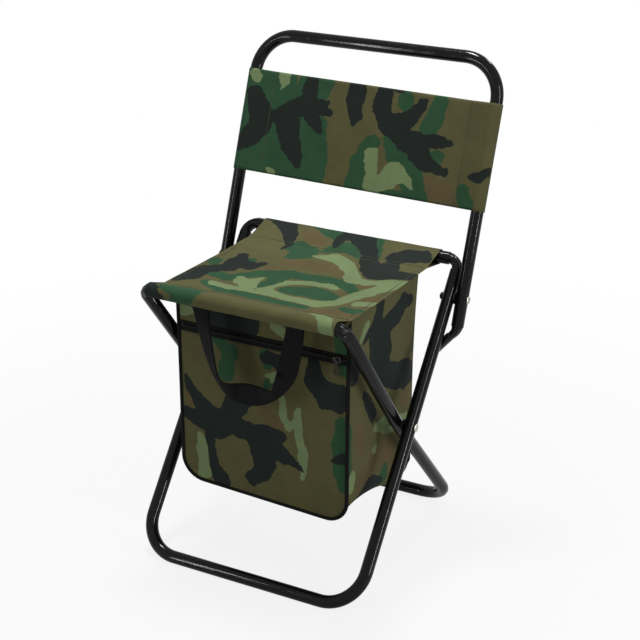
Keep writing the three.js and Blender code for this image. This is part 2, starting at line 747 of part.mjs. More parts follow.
function carryHandle() {
  const half = HANDLE_SPAN / 2;
  const waist = HANDLE_WAIST / 2;
  const turnsAt = HANDLE_TOP - HANDLE_STRAIGHT;
  const line = new THREE.CurvePath();
  line.add(
    new THREE.LineCurve(new THREE.Vector2(-half, HANDLE_TOP), new THREE.Vector2(-waist, turnsAt)),
  );
  const depth = HANDLE_DROP - HANDLE_STRAIGHT;
  line.add(new THREE.EllipseCurve(0, turnsAt, waist, depth, Math.PI, 2 * Math.PI));
  line.add(
    new THREE.LineCurve(new THREE.Vector2(waist, turnsAt), new THREE.Vector2(half, HANDLE_TOP)),
  );
  const steps = 32;
  const edge = (side) =>
    Array.from({ length: steps + 1 }, (_, i) => {
      const at = line.getPointAt(i / steps);
      const along = line.getTangentAt(i / steps);
      const offset = (side * WEBBING_W) / 2;
      if (i === 0) return new THREE.Vector2(at.x + offset, at.y);
      if (i === steps) return new THREE.Vector2(at.x - offset, at.y);
      return new THREE.Vector2(at.x - along.y * offset, at.y + along.x * offset);
    });
  const shape = new THREE.Shape([...edge(1), ...edge(-1).reverse()]);
  return alongY(shape, HANDLE_Y - WEBBING_T / 2, WEBBING_T);
}

// Assembly
const stool = new THREE.Group();
stool.position.y = -CENTRE_Y;

const sides = [
  ["right", 1],
  ["left", -1],
];

const backrest = new THREE.Group();
backrest.position.set(0, BACK_PIVOT.y, BACK_PIVOT.z);
backrest.rotation.x = -BACK_LEAN;
backrest.add(mesh("backrest_frame", backrestFrame(), BLACK_PAINT));
backrest.add(mesh("backrest_band", backrestBand(), CAMO));
for (const [name, side] of sides) backrest.add(mesh(`hook_plug_${name}`, hookPlug(side), NYLON));
stool.add(backrest);

stool.add(mesh("outer_leg_frame", outerLegFrame(), BLACK_PAINT));
stool.add(mesh("inner_leg_frame", innerLegFrame(), BLACK_PAINT));
for (const [name, side] of sides) {
  stool.add(mesh(`pivot_rivet_${name}`, pivotRivet(side), NICKEL));
  stool.add(mesh(`pivot_washer_${name}`, washer(side, INNER_X, RIVET_D, PIVOT), NYLON));
  stool.add(mesh(`backrest_bolt_${name}`, backrestBolt(side), NICKEL));
  stool.add(mesh(`backrest_washer_${name}`, washer(side, OUTER_X, BOLT_D, BACK_PIVOT), NYLON));
  stool.add(mesh(`backrest_nut_${name}`, backrestNut(side), DARK_STEEL));
}

stool.add(mesh("seat_panel", seatPanel(), CAMO));
stool.add(mesh("seat_front_hem", seatHem(0, FRONT_HEM_WIDTH), CAMO));
stool.add(mesh("seat_rear_hem", seatHem(SEAT_DEPTH, REAR_HEM_WIDTH), CAMO));

stool.add(mesh("bag_front_lower", bagFrontLower(), CAMO));
stool.add(mesh("bag_front_upper", bagFrontUpper(), CAMO));
stool.add(mesh("bag_gusset", bagGusset(), CAMO));
stool.add(mesh("bag_back", bagBack(), CAMO));
stool.add(mesh("piping_front", piping(BAG_SETBACK + PIPING_R, FRONT_TOP), BLACK_CLOTH));
stool.add(mesh("piping_rear", piping(BAG_REAR - PIPING_R, REAR_TOP), BLACK_CLOTH));
stool.add(mesh("liner_front", linerFront(), FOIL));
stool.add(mesh("liner_gusset", linerGusset(), FOIL));
stool.add(mesh("liner_back", linerBack(), FOIL));

stool.add(mesh("zip_tape_upper", zipTape(1), BLACK_CLOTH));
stool.add(mesh("zip_tape_lower", zipTape(-1), BLACK_CLOTH));
stool.add(mesh("zip_coil", zipCoil(), NYLON));
stool.add(mesh("zip_slider", zipSlider(), DARK_STEEL));
stool.add(mesh("zip_pull", zipPull(), DARK_STEEL));
stool.add(mesh("carry_handle", carryHandle(), BLACK_CLOTH));

export default stool;
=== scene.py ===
"""Looks of a folding stool with a cloth back band and a cooler bag under its seat."""
import json
import math

import bmesh
import bpy
import numpy as np
from mathutils import Matrix, Vector, noise


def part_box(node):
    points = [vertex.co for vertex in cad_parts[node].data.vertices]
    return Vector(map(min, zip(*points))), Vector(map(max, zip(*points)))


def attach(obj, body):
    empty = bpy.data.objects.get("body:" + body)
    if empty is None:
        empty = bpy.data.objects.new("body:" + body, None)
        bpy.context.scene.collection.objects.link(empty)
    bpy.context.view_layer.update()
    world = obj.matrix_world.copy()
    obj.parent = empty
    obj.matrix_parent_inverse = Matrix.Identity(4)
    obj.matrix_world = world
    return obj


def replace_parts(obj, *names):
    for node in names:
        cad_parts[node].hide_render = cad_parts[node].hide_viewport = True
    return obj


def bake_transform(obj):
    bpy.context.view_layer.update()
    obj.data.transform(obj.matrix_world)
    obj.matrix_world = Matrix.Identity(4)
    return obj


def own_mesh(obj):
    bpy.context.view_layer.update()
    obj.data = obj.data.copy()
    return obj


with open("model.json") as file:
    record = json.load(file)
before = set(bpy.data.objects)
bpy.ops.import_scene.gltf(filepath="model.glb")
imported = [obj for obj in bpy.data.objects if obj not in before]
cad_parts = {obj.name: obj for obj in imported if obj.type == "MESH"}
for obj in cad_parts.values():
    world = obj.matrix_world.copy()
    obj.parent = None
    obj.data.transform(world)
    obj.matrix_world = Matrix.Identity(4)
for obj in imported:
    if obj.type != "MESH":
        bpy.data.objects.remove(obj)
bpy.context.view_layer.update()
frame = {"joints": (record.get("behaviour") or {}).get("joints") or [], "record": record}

MM = 0.001

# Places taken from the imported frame, in millimetres. X is the width, Y points to the rear, Z is up.
joints = {joint["name"]: joint for joint in frame["joints"]}
mounts = {mount["name"]: mount for mount in frame["record"]["mounts"]}


def low_corner(node):
    return np.array(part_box(node)[0]) / MM


def high_corner(node):
    return np.array(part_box(node)[1]) / MM


def middle(node):
    return (low_corner(node) + high_corner(node)) / 2


FOLD_PIVOT = np.array(joints["frame_fold"]["pos_m"]) / MM
BACK_PIVOT = np.array(joints["backrest_fold"]["pos_m"]) / MM
FRONT_BAR = middle("seat_front_hem")
REAR_BAR = middle("seat_rear_hem")
FRONT_FOOT_Y = mounts["front_foot_bar"]["pos_m"][1] / MM
REAR_FOOT_Y = mounts["rear_foot_bar"]["pos_m"][1] / MM
FRAME_STEP = middle("backrest_washer_right")[0] - middle("pivot_washer_right")[0]
OUTER_X = middle("backrest_washer_right")[0] - FRAME_STEP / 2
INNER_X = OUTER_X - FRAME_STEP
BACK_X = OUTER_X + FRAME_STEP
BAG_X = high_corner("bag_gusset")[0]
BAG_LOW = low_corner("bag_gusset")[2]
BAG_FRONT = low_corner("piping_front")[1]
BAG_REAR = high_corner("piping_rear")[1]
ZIP_Z = middle("zip_coil")[2]

# Where the camera stands
CAMERA_AT = (0.89787, -1.61128, 1.03798)
CAMERA_BACK = Vector((0.44695, -0.81199, 0.37538))
CAMERA_RIGHT = Vector((0.875657, 0.482929, 0.002013))
CAMERA_LENS = 89.42
SENSOR_WIDTH = 36

# Sizes of the tubes, in millimetres
TUBE_R = 8
SEAT_BEND = 14
FOOT_BEND = 48
PIVOT_BEND = 400
BACK_BEND = 50
HOOK_BEND = 24
BACK_LENGTH = 295
BACK_LEAN = math.radians(19.7)
HOOK_DROP = 42
HOOK_TURN = math.radians(36.6)
TIGHT_BEND = 30

# Sizes of the cloth, in millimetres
CLOTH = 0.8
HEM_R = TUBE_R + 1.1
BAND_LOW = 114
BAND_HIGH = 247
BAND_STITCH = 31
BAND_SLIP = 4.5
SEAT_X = 127
SEAT_FOLD = 8
FRONT_STITCH = 33
REAR_STITCH = 40
SEAT_SAG = 6
BAG_CORNER = 31
PIPING_R = 2.4
BAG_TILT = 5


# Mesh helpers
def unit(vector):
    return vector / np.linalg.norm(vector)


def clamp(value):
    return np.clip(value, 0, 1)


def peak(value, at, width):
    """A smooth hump of height 1."""
    return np.exp(-((value - at) / width) ** 2)


def columns(*parts):
    """Points from their coordinates, any of which may be one number for all."""
    return np.stack(np.broadcast_arrays(*parts), axis=1)


def run_lengths(points):
    """The length along a run up to each of its points."""
    return np.concatenate(([0], np.cumsum(np.linalg.norm(np.diff(points, axis=0), axis=1))))


def spokes(across, other, sides):
    """Ways outward round a piece, in the plane of the two given ones."""
    angles = 2 * math.pi * np.arange(sides) / sides
    return np.outer(np.cos(angles), across) + np.outer(np.sin(angles), other)


def add_object(name, data):
    obj = bpy.data.objects.new(name, data)
    bpy.context.scene.collection.objects.link(obj)
    return obj


def add_mesh(name, points, faces, material):
    mesh = bpy.data.meshes.new(name)
    mesh.from_pydata((np.asarray(points, float) * MM).tolist(), [], faces)
    mesh.materials.append(material)
    made = bmesh.new()
    made.from_mesh(mesh)
    bmesh.ops.recalc_face_normals(made, faces=made.faces)
    made.to_mesh(mesh)
    made.free()
    mesh.shade_smooth()
    return add_object(name, mesh)


def grid_faces(rows, ways, wrap_rows=False, wrap_ways=False):
    faces = []
    for i in range(rows if wrap_rows else rows - 1):
        for j in range(ways if wrap_ways else ways - 1):
            below = i * ways
            above = (i + 1) % rows * ways
            beside = (j + 1) % ways
            faces.append((below + j, below + beside, above + beside, above + j))
    return faces


def tube_faces(rings, sides, closed=False):
    """Faces of a tube, with a cap at each end unless it closes on itself."""
    faces = grid_faces(rings, sides, closed, True)
    if not closed:
        last = (rings - 1) * sides
        faces += [tuple(range(sides)), tuple(range(last, last + sides))]
    return faces


def settle(obj):
    """Applies the modifiers of a piece to its mesh."""
    shaped = obj.evaluated_get(bpy.context.evaluated_depsgraph_get())
    obj.data = bpy.data.meshes.new_from_object(shaped)
    obj.modifiers.clear()


def thicken(obj, thickness, offset=-1):
    shell = obj.modifiers.new("thickness", "SOLIDIFY")
    shell.thickness = thickness * MM
    shell.offset = offset
    settle(obj)


SEED_STEP = np.array((17.3, -9.1, 5.7))


def soft_noise(points, scale, seed):
    """Smooth noise from -1 to 1 at each point, with features of about the given size."""
    shift = Vector(seed * SEED_STEP)
    return np.array([noise.noise(Vector(p) / scale + shift) for p in points])


def folds(points, layers, seed):
    """Loose folds of cloth: each layer holds their height and their size."""
    return sum(high * soft_noise(points, size, seed + k) for k, (high, size) in enumerate(layers))


# Shader helpers
class Nodes:
    """Short ways to add nodes to a tree."""

    def __init__(self, tree):
        self.tree = tree

    def put(self, socket, value):
        if isinstance(value, bpy.types.NodeSocket):
            self.tree.links.new(value, socket)
        else:
            socket.default_value = value

    def node(self, kind, inputs=(), **settings):
        made = self.tree.nodes.new("ShaderNode" + kind)
        for label, value in settings.items():
            setattr(made, label, value)
        for label, value in dict(inputs).items():
            self.put(made.inputs[label], value)
        return made

    def math(self, operation, first, second=0.0):
        inputs = {0: first, 1: second}
        return self.node("Math", inputs, operation=operation).outputs[0]

    def step(self, value, low, high, bottom=0.0, top=1.0):
        inputs = {"Value": value, 1: low, 2: high, 3: bottom, 4: top}
        made = self.node("MapRange", inputs, interpolation_type="SMOOTHSTEP")
        return made.outputs[0]


class Finish(Nodes):
    """A material, with its main shader and the nodes of its surface."""

    def __init__(self, name, **values):
        self.material = bpy.data.materials.new(name)
        self.material.use_nodes = True
        super().__init__(self.material.node_tree)
        self.shader = self.tree.nodes["Principled BSDF"]
        self.set(**values)

    def set(self, **values):
        for label, value in values.items():
            self.put(self.shader.inputs[label.replace("_", " ")], value)

    def mix(self, share, first, second):
        made = self.node("Mix", data_type="RGBA")
        inputs = {socket.identifier: socket for socket in made.inputs}
        for label, value in (("Factor_Float", share), ("A_Color", first), ("B_Color", second)):
            self.put(inputs[label], value)
        return next(socket for socket in made.outputs if socket.identifier == "Result_Color")

    def attribute(self, name, output="Fac"):
        return self.node("Attribute", attribute_name=name).outputs[output]

    def place(self):
        return self.node("TexCoord").outputs["Object"]

    def noise(self, scale, vector=None, detail=3.0, roughness=0.5):
        inputs = {"Scale": scale, "Detail": detail, "Roughness": roughness}
        inputs["Vector"] = vector or self.place()
        return self.node("TexNoise", inputs).outputs["Fac"]

    def bump(self, height, strength, distance):
        inputs = {"Height": height, "Strength": strength, "Distance": distance}
        return self.node("Bump", inputs).outputs["Normal"]


def colour(red, green, blue):
    """A linear colour from values of 0 to 255."""
    def linear(value):
        value /= 255
        return value / 12.92 if value <= 0.04045 else ((value + 0.055) / 1.055) ** 2.4
    return linear(red), linear(green), linear(blue), 1.0


# Materials. On cloth, lengths are in millimetres of the flat piece, elsewhere in metres.
def weave(made, cloth, pitch):
    """Height of a plain weave: crossing threads that pass over and under each other."""
    split = made.node("SeparateXYZ", {0: cloth})
    warp, weft = (made.math("MULTIPLY", split.outputs[k], math.pi / pitch) for k in (0, 1))
    over = made.math("MULTIPLY", made.math("SINE", warp), made.math("SINE", weft))
    hollows = [made.math("ABSOLUTE", made.math("COSINE", way)) for way in (warp, weft)]
    return made.math("ADD", made.math("MULTIPLY", over, 0.5), made.math("MULTIPLY", *hollows))


CAMO_WEAVE = 0.9
WEBBING_WEAVE = 1.3
BASE_CLOTH = (74, 72, 45)
INK_SHADES = {
    "brown": (77, 68, 44),
    "green": (36, 65, 43),
    "pale": (96, 111, 76),
    "black": (25, 31, 28),
}
INK_EDGE = 0.3


def camo_cloth():
    made = Finish("camo_cloth", Roughness=0.82, Specular_IOR_Level=0.12)
    cloth = made.attribute("cloth", "Vector")
    ragged = made.math("SUBTRACT", made.noise(0.11, cloth, 3.0, 0.55), 0.5)
    lobes = made.math("SUBTRACT", made.noise(0.045, cloth, 1.0, 0.4), 0.5)
    wobble = made.math("ADD", made.math("MULTIPLY", ragged, 7.5), made.math("MULTIPLY", lobes, 5.0))
    paint = colour(*BASE_CLOTH)
    for ink, shade in INK_SHADES.items():
        edge = made.math("ADD", made.attribute("ink_" + ink), wobble)
        paint = made.mix(made.step(edge, -INK_EDGE, INK_EDGE), paint, colour(*shade))
    fade = made.step(made.noise(0.03, cloth, 4.0, 0.6), 0.3, 0.7, 0.92, 1.06)
    threads = made.noise(1.9, cloth, 2.0, 0.7)
    shade = made.math("ADD", fade, made.step(threads, 0.2, 0.8, -0.05, 0.05))
    tint = made.node("VectorMath", {0: paint, 3: shade}, operation="SCALE")
    made.set(
        Base_Color=tint.outputs[0],
        Normal=made.bump(weave(made, cloth, CAMO_WEAVE), 0.28, 0.00022),
        Roughness=made.step(threads, 0.2, 0.8, 0.76, 0.9),
    )
    return made.material


def black_paint():
    made = Finish("black_paint", Base_Color=colour(10, 11, 11), IOR=1.29)
    peel = made.math("MULTIPLY", made.noise(900, detail=2.0), 0.25)
    height = made.math("ADD", peel, made.noise(45, detail=2.0))
    made.set(
        Roughness=made.step(made.noise(60, detail=5.0), 0.3, 0.75, 0.07, 0.17),
        Normal=made.bump(height, 0.12, 0.0004),
    )
    return made.material


def grainy(name, shine, rough, grain, **values):
    """A plain material: the scale of its shiny patches, their roughness and its fine bumps."""
    made = Finish(name, **values)
    scale, detail, strength, distance = grain
    made.set(
        Roughness=made.step(made.noise(shine, detail=4.0), 0.3, 0.7, *rough),
        Normal=made.bump(made.noise(scale, detail=detail), strength, distance),
    )
    return made.material


def black_webbing():
    made = Finish("black_webbing", Specular_IOR_Level=0.1)
    cloth = made.attribute("cloth", "Vector")
    lint = made.noise(1.2, cloth, 4.0, 0.6)
    made.set(
        Base_Color=made.mix(made.step(lint, 0.35, 0.75), colour(9, 10, 9), colour(16, 17, 16)),
        Roughness=made.step(lint, 0.3, 0.7, 0.7, 0.88),
        Normal=made.bump(weave(made, cloth, WEBBING_WEAVE), 0.45, 0.0004),
    )
    return made.material


def foil_liner():
    made = Finish("foil_liner", Base_Color=colour(196, 198, 200), Metallic=0.75)
    creases = made.noise(0.09, made.attribute("cloth", "Vector"), 5.0, 0.7)
    made.set(
        Roughness=made.step(creases, 0.3, 0.7, 0.22, 0.42),
        Normal=made.bump(creases, 0.5, 0.002),
    )
    return made.material


def thread():
    made = Finish("thread", Base_Color=colour(66, 64, 42), Roughness=0.75)
    made.set(Normal=made.bump(made.noise(2600, detail=1.0), 0.3, 0.0002))
    return made.material


METAL_GRAIN = (900, 3.0, 0.12, 0.0003)
CAMO = camo_cloth()
PAINT = black_paint()
NICKEL = grainy(
    "nickel", 500, (0.16, 0.36), (700, 3.0, 0.1, 0.0003), Base_Color=colour(196, 194, 186),
    Metallic=1.0)
STEEL = grainy(
    "dark_steel", 600, (0.3, 0.5), METAL_GRAIN, Base_Color=colour(52, 50, 47), Metallic=0.9)
PULL = grainy(
    "bronzed_steel", 600, (0.3, 0.48), METAL_GRAIN, Base_Color=colour(22, 20, 15), Metallic=0.4)
NYLON = grainy(
    "black_nylon", 700, (0.42, 0.6), (1500, 2.0, 0.1, 0.0002), Base_Color=colour(14, 14, 14),
    Specular_IOR_Level=0.25)
WEBBING = black_webbing()
FOIL = foil_liner()
THREAD = thread()


# Bent tubes
LEAST_STEPS = 4
BEND_STEP = 5
TIGHT_STEP = 2.5


def bent_run(corners, closed):
    """Stations along a bent tube: point, direction, way into the bend, share of it, tightness."""
    stations = []
    count = len(corners)
    for i, (at, bend) in enumerate(corners):
        at = np.array(at, float)
        if not closed and i in (0, count - 1):
            other = np.array(corners[1 if i == 0 else count - 2][0], float)
            direction = unit(other - at) if i == 0 else unit(at - other)
            stations.append((at, direction, np.zeros(3), 0.0, 0.0))
            continue
        before = unit(at - np.array(corners[i - 1][0], float))
        after = unit(np.array(corners[(i + 1) % count][0], float) - at)
        turn = math.acos(np.clip(before @ after, -1, 1))
        inward = np.cross(unit(np.cross(before, after)), before)
        centre = at - before * bend * math.tan(turn / 2) + inward * bend
        tight = 1.0 if bend < TIGHT_BEND else 0.0
        steps = max(LEAST_STEPS, round(math.degrees(turn) / (TIGHT_STEP if tight else BEND_STEP)))
        for k in range(steps + 1):
            angle = turn * k / steps
            spoke = before * math.sin(angle) - inward * math.cos(angle)
            direction = before * math.cos(angle) + inward * math.sin(angle)
            stations.append((centre + bend * spoke, direction, -spoke, k / steps, tight))
    return stations


TUBE_SIDES = 48
TUBE_START = (0.31, 0.83, 0.46)
BEND_FLATTEN = 0.2
BEND_SWELL = 0.04
BEND_RIPPLE = 1.6
BEND_RIPPLES = 4
BEND_CREASE = 1.0
BEND_CREASES = 9
HOOK_PINCH = 0.3
HOOK_RIPPLE = 0.35


def bent_tube(name, corners, closed):
    """A tube along a bent run, with flattened and creased tight bends and pinched open ends."""
    stations = bent_run(corners, closed)
    last = len(stations) - 1
    if not closed:
        stations[0] = stations[0][:2] + (stations[1][2], 0.0, 0.0)
        stations[-1] = stations[-1][:2] + (stations[-2][2], 1.0, 0.0)
    normal = unit(np.cross(stations[0][1], TUBE_START))
    rings = []
    for i, (point, direction, inward, share, tight) in enumerate(stations):
        normal = unit(normal - (normal @ direction) * direction)
        aside = np.cross(direction, inward)
        amount = tight * math.sqrt(math.sin(math.pi * share)) if tight else 0.0
        at_end = not closed and (tight or i in (0, last))
        pinch = HOOK_PINCH * (1 - share if i <= last / 2 else share) ** 2 if at_end else 0.0
        ripple = 0.5 - 0.5 * math.cos(2 * math.pi * BEND_RIPPLES * share ** 1.15)
        ripple *= (0.75 + 0.25 * math.sin(9 * share)) * (HOOK_RIPPLE if at_end else 1.0)
        for spoke in spokes(normal, np.cross(direction, normal), TUBE_SIDES):
            facing = spoke @ inward
            crease = math.cos(BEND_CREASES * math.atan2(spoke @ aside, facing) + 4 * share)
            reach = TUBE_R * (1 - BEND_FLATTEN * amount * facing ** 2)
            reach -= BEND_CREASE * amount * (0.5 + 0.5 * crease) ** 2
            reach += TUBE_R * BEND_SWELL * amount * (1 - facing ** 2)
            reach -= BEND_RIPPLE * amount * ripple * max(0.0, facing + 0.2)
            rings.append(point + reach * spoke + pinch * (TUBE_R - reach * facing) * inward)
    return add_mesh(name, rings, tube_faces(len(stations), TUBE_SIDES, closed), PAINT)


def both_sides(half):
    """Corners of one half and of its mirror image, as one run."""
    return half + [((-x, y, z), bend) for (x, y, z), bend in reversed(half)]


def on_back(x, out, up):
    """A point given across, in front of and along the uprights of the backrest."""
    ahead = np.array((0, -math.cos(BACK_LEAN), math.sin(BACK_LEAN)))
    along = np.array((0, math.sin(BACK_LEAN), math.cos(BACK_LEAN)))
    return BACK_PIVOT + np.array((x, 0, 0)) + out * ahead + up * along


HOOK_TIP_X = OUTER_X - 1
HOOK_TIP_UP = -HOOK_DROP - (BACK_X - HOOK_TIP_X) / math.tan(HOOK_TURN)
LEG_LEAN = math.atan2(REAR_BAR[1] - FRONT_FOOT_Y, REAR_BAR[2] - TUBE_R) - BACK_LEAN
HOOK_STAND_OFF = FRAME_STEP - 1
HOOK_TIP_OUT = -(HOOK_STAND_OFF + HOOK_TIP_UP * math.sin(LEG_LEAN)) / math.cos(LEG_LEAN)
HOOK_TIP = on_back(HOOK_TIP_X, HOOK_TIP_OUT, HOOK_TIP_UP)


def tube_frames():
    outer = both_sides([
        ((OUTER_X, REAR_BAR[1], REAR_BAR[2]), SEAT_BEND),
        ((OUTER_X, FRONT_FOOT_Y, TUBE_R), FOOT_BEND),
    ])
    inner = both_sides([
        ((INNER_X, FRONT_BAR[1], FRONT_BAR[2]), SEAT_BEND),
        ((INNER_X, FOLD_PIVOT[1], FOLD_PIVOT[2]), PIVOT_BEND),
        ((INNER_X, REAR_FOOT_Y, TUBE_R), FOOT_BEND),
    ])
    back = both_sides([
        (tuple(HOOK_TIP), 0),
        (tuple(on_back(BACK_X, 0, -HOOK_DROP)), HOOK_BEND),
        (tuple(on_back(BACK_X, 0, BACK_LENGTH)), BACK_BEND),
    ])
    for name, corners, closed, body in (
        ("outer_leg_frame", outer, True, "outer_frame"),
        ("inner_leg_frame", inner, True, "inner_frame"),
        ("backrest_frame", back, False, "backrest"),
    ):
        tube = bent_tube(name + "_tube", corners, closed)
        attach(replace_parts(tube, name), body)


tube_frames()


# Rivets, bolts, nuts, washers and plugs
TURNED_START = (0.2, 0.9, 0.4)
TURNED_SIDES = 40


def turned(name, profile, start, axis, material, sides=TURNED_SIDES):
    """A turned piece: its profile holds radii and distances from its start along its axis."""
    axis = unit(np.array(axis, float))
    across = unit(np.cross(axis, TURNED_START))
    ways = spokes(across, np.cross(axis, across), sides)
    rings = np.concatenate([start + at * axis + radius * ways for radius, at in profile])
    return add_mesh(name, rings, tube_faces(len(profile), sides), material)


def dome(radius, height, at, steps=9, tip=0.06):
    """Profile of a low round head, from its rim to a small flat at its tip."""
    angles = np.linspace(0, math.pi / 2 - tip, steps)
    return [(radius * math.cos(a), at + height * math.sin(a)) for a in angles]


SHANK_R = 3
SHANK_FLAT = 0.4
HEAD_EDGE = 0.3
RIVET_HEAD = (5.2, 2.1)
RIVET_RIM = 0.1
RIVET_START = 0.5
RIVET_TAIL = ((0.4, 0), (3.6, 0), (4.4, 0.5), (4.4, 1.3), (3, 1.35))
BOLT_HEAD = (4.8, 1.6)
BOLT_RIM = 0.6
BOLT_END = 2
BOLT_TIP = 0.5
BOLT_TIP_R = 2.6
WASHER_R = 7.5
WASHER_BORE = 3.3
WASHER_EDGE = 0.25


def washer_profile(node):
    low, high = low_corner(node)[0], high_corner(node)[0]
    flat = WASHER_R - WASHER_EDGE
    rim = [(flat, low), (WASHER_R, low + WASHER_EDGE), (WASHER_R, high - WASHER_EDGE), (flat, high)]
    return [(WASHER_BORE, low)] + rim + [(WASHER_BORE, high)]


def hardware(side, word):
    axis = (side, 0, 0)
    out = OUTER_X + TUBE_R
    low = low_corner("pivot_rivet_right")[0]
    start = low + RIVET_START
    profile = [(SHANK_FLAT, start), (SHANK_R, start), (SHANK_R, out)]
    profile += [(RIVET_HEAD[0] - HEAD_EDGE, out)] + dome(*RIVET_HEAD, out + RIVET_RIM)
    pin = turned("rivet_" + word, profile, FOLD_PIVOT, axis, NICKEL)
    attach(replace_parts(pin, "pivot_rivet_" + word), "outer_frame")
    profile = [(radius, low + at) for radius, at in RIVET_TAIL]
    tail = turned("rivet_tail_" + word, profile, FOLD_PIVOT, axis, STEEL)
    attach(tail, "outer_frame")
    out = BACK_X + TUBE_R
    low = high_corner("backrest_nut_right")[0] - BOLT_END
    profile = [(SHANK_FLAT, low), (BOLT_TIP_R, low), (SHANK_R, low + BOLT_TIP), (SHANK_R, out)]
    profile += [(BOLT_HEAD[0] - HEAD_EDGE, out), (BOLT_HEAD[0], out + HEAD_EDGE)]
    profile += dome(*BOLT_HEAD, out + BOLT_RIM)
    pin = turned("bolt_" + word, profile, BACK_PIVOT, axis, NICKEL)
    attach(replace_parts(pin, "backrest_bolt_" + word), "outer_frame")
    for joint, at in (("pivot", FOLD_PIVOT), ("backrest", BACK_PIVOT)):
        profile = washer_profile(joint + "_washer_right")
        ring = turned(joint + "_spacer_" + word, profile, at, axis, NYLON)
        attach(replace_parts(ring, joint + "_washer_" + word), "outer_frame")
    cap_nut(side, word)
    hook_plug(side, word)


PLUG_R = TUBE_R - 1.2
PLUG_CAP_R = TUBE_R - 0.1
PLUG_DEPTH = 14
PLUG_EDGE = 0.2
PLUG_RIM = 0.5
PLUG_CAP = ((0.98, 1.0), (0.9, 1.4), (0.7, 1.6), (0.3, 1.7), (0.05, 1.7))


def hook_plug(side, word):
    """Domed plug in the open end of a hook, pinched as the hook is."""
    tip = HOOK_TIP * (side, 1, 1)
    way = unit(tip - on_back(side * BACK_X, 0, -HOOK_DROP))
    profile = [(PLUG_R, -PLUG_DEPTH), (PLUG_R, 0)]
    profile += [(PLUG_CAP_R - PLUG_EDGE, 0), (PLUG_CAP_R, PLUG_RIM)]
    profile += [(share * PLUG_CAP_R, at) for share, at in PLUG_CAP]
    plug = turned("plug_" + word, profile, tip, way, NYLON)
    inward = unit(np.cross(way, np.cross(unit(on_back(0, 0, 1) - BACK_PIVOT), way)))
    for vertex in plug.data.vertices:
        depth = (np.array(vertex.co) / MM - tip) @ inward
        vertex.co += Vector(HOOK_PINCH * (TUBE_R - depth) * inward * MM)
    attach(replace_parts(plug, "hook_plug_" + word), "backrest")


NUT_SHARE = 0.9
NUT_CHAMFER = 0.99
NUT_SIDES = 36
NUT_SPLIT = math.radians(35)
NUT_HEX = ((0, 0.93), (0.3, 1.0), (1.6, 1.0), (1.9, 0.9))
NUT_DOME = ((2.0, 0.78), (2.5, 0.7), (2.9, 0.5), (3.1, 0.15))


def cap_nut(side, word):
    """Cap nut with six flats, chamfered corners and a domed end."""
    low, high = low_corner("backrest_nut_right"), high_corner("backrest_nut_right")
    across = (high[2] - low[2]) / 2 * NUT_SHARE
    rings = []
    for below, share in NUT_HEX + NUT_DOME:
        for k in range(NUT_SIDES):
            angle = 2 * math.pi * k / NUT_SIDES
            sector = (angle + math.pi / 6) % (math.pi / 3) - math.pi / 6
            reach = across * share
            if (below, share) in NUT_HEX:
                reach = min(across * math.cos(math.pi / 6) / math.cos(sector), reach * NUT_CHAMFER)
            y, z = BACK_PIVOT[1:] + reach * np.array((-math.sin(angle), math.cos(angle)))
            rings.append((side * (high[0] - below), y, z))
    faces = tube_faces(len(NUT_HEX + NUT_DOME), NUT_SIDES)
    nut = add_mesh("cap_nut_" + word, rings, faces, STEEL)
    nut.modifiers.new("edges", "EDGE_SPLIT").split_angle = NUT_SPLIT
    settle(nut)
    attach(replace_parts(nut, "backrest_nut_" + word), "outer_frame")


for side, word in ((1, "right"), (-1, "left")):
    hardware(side, word)


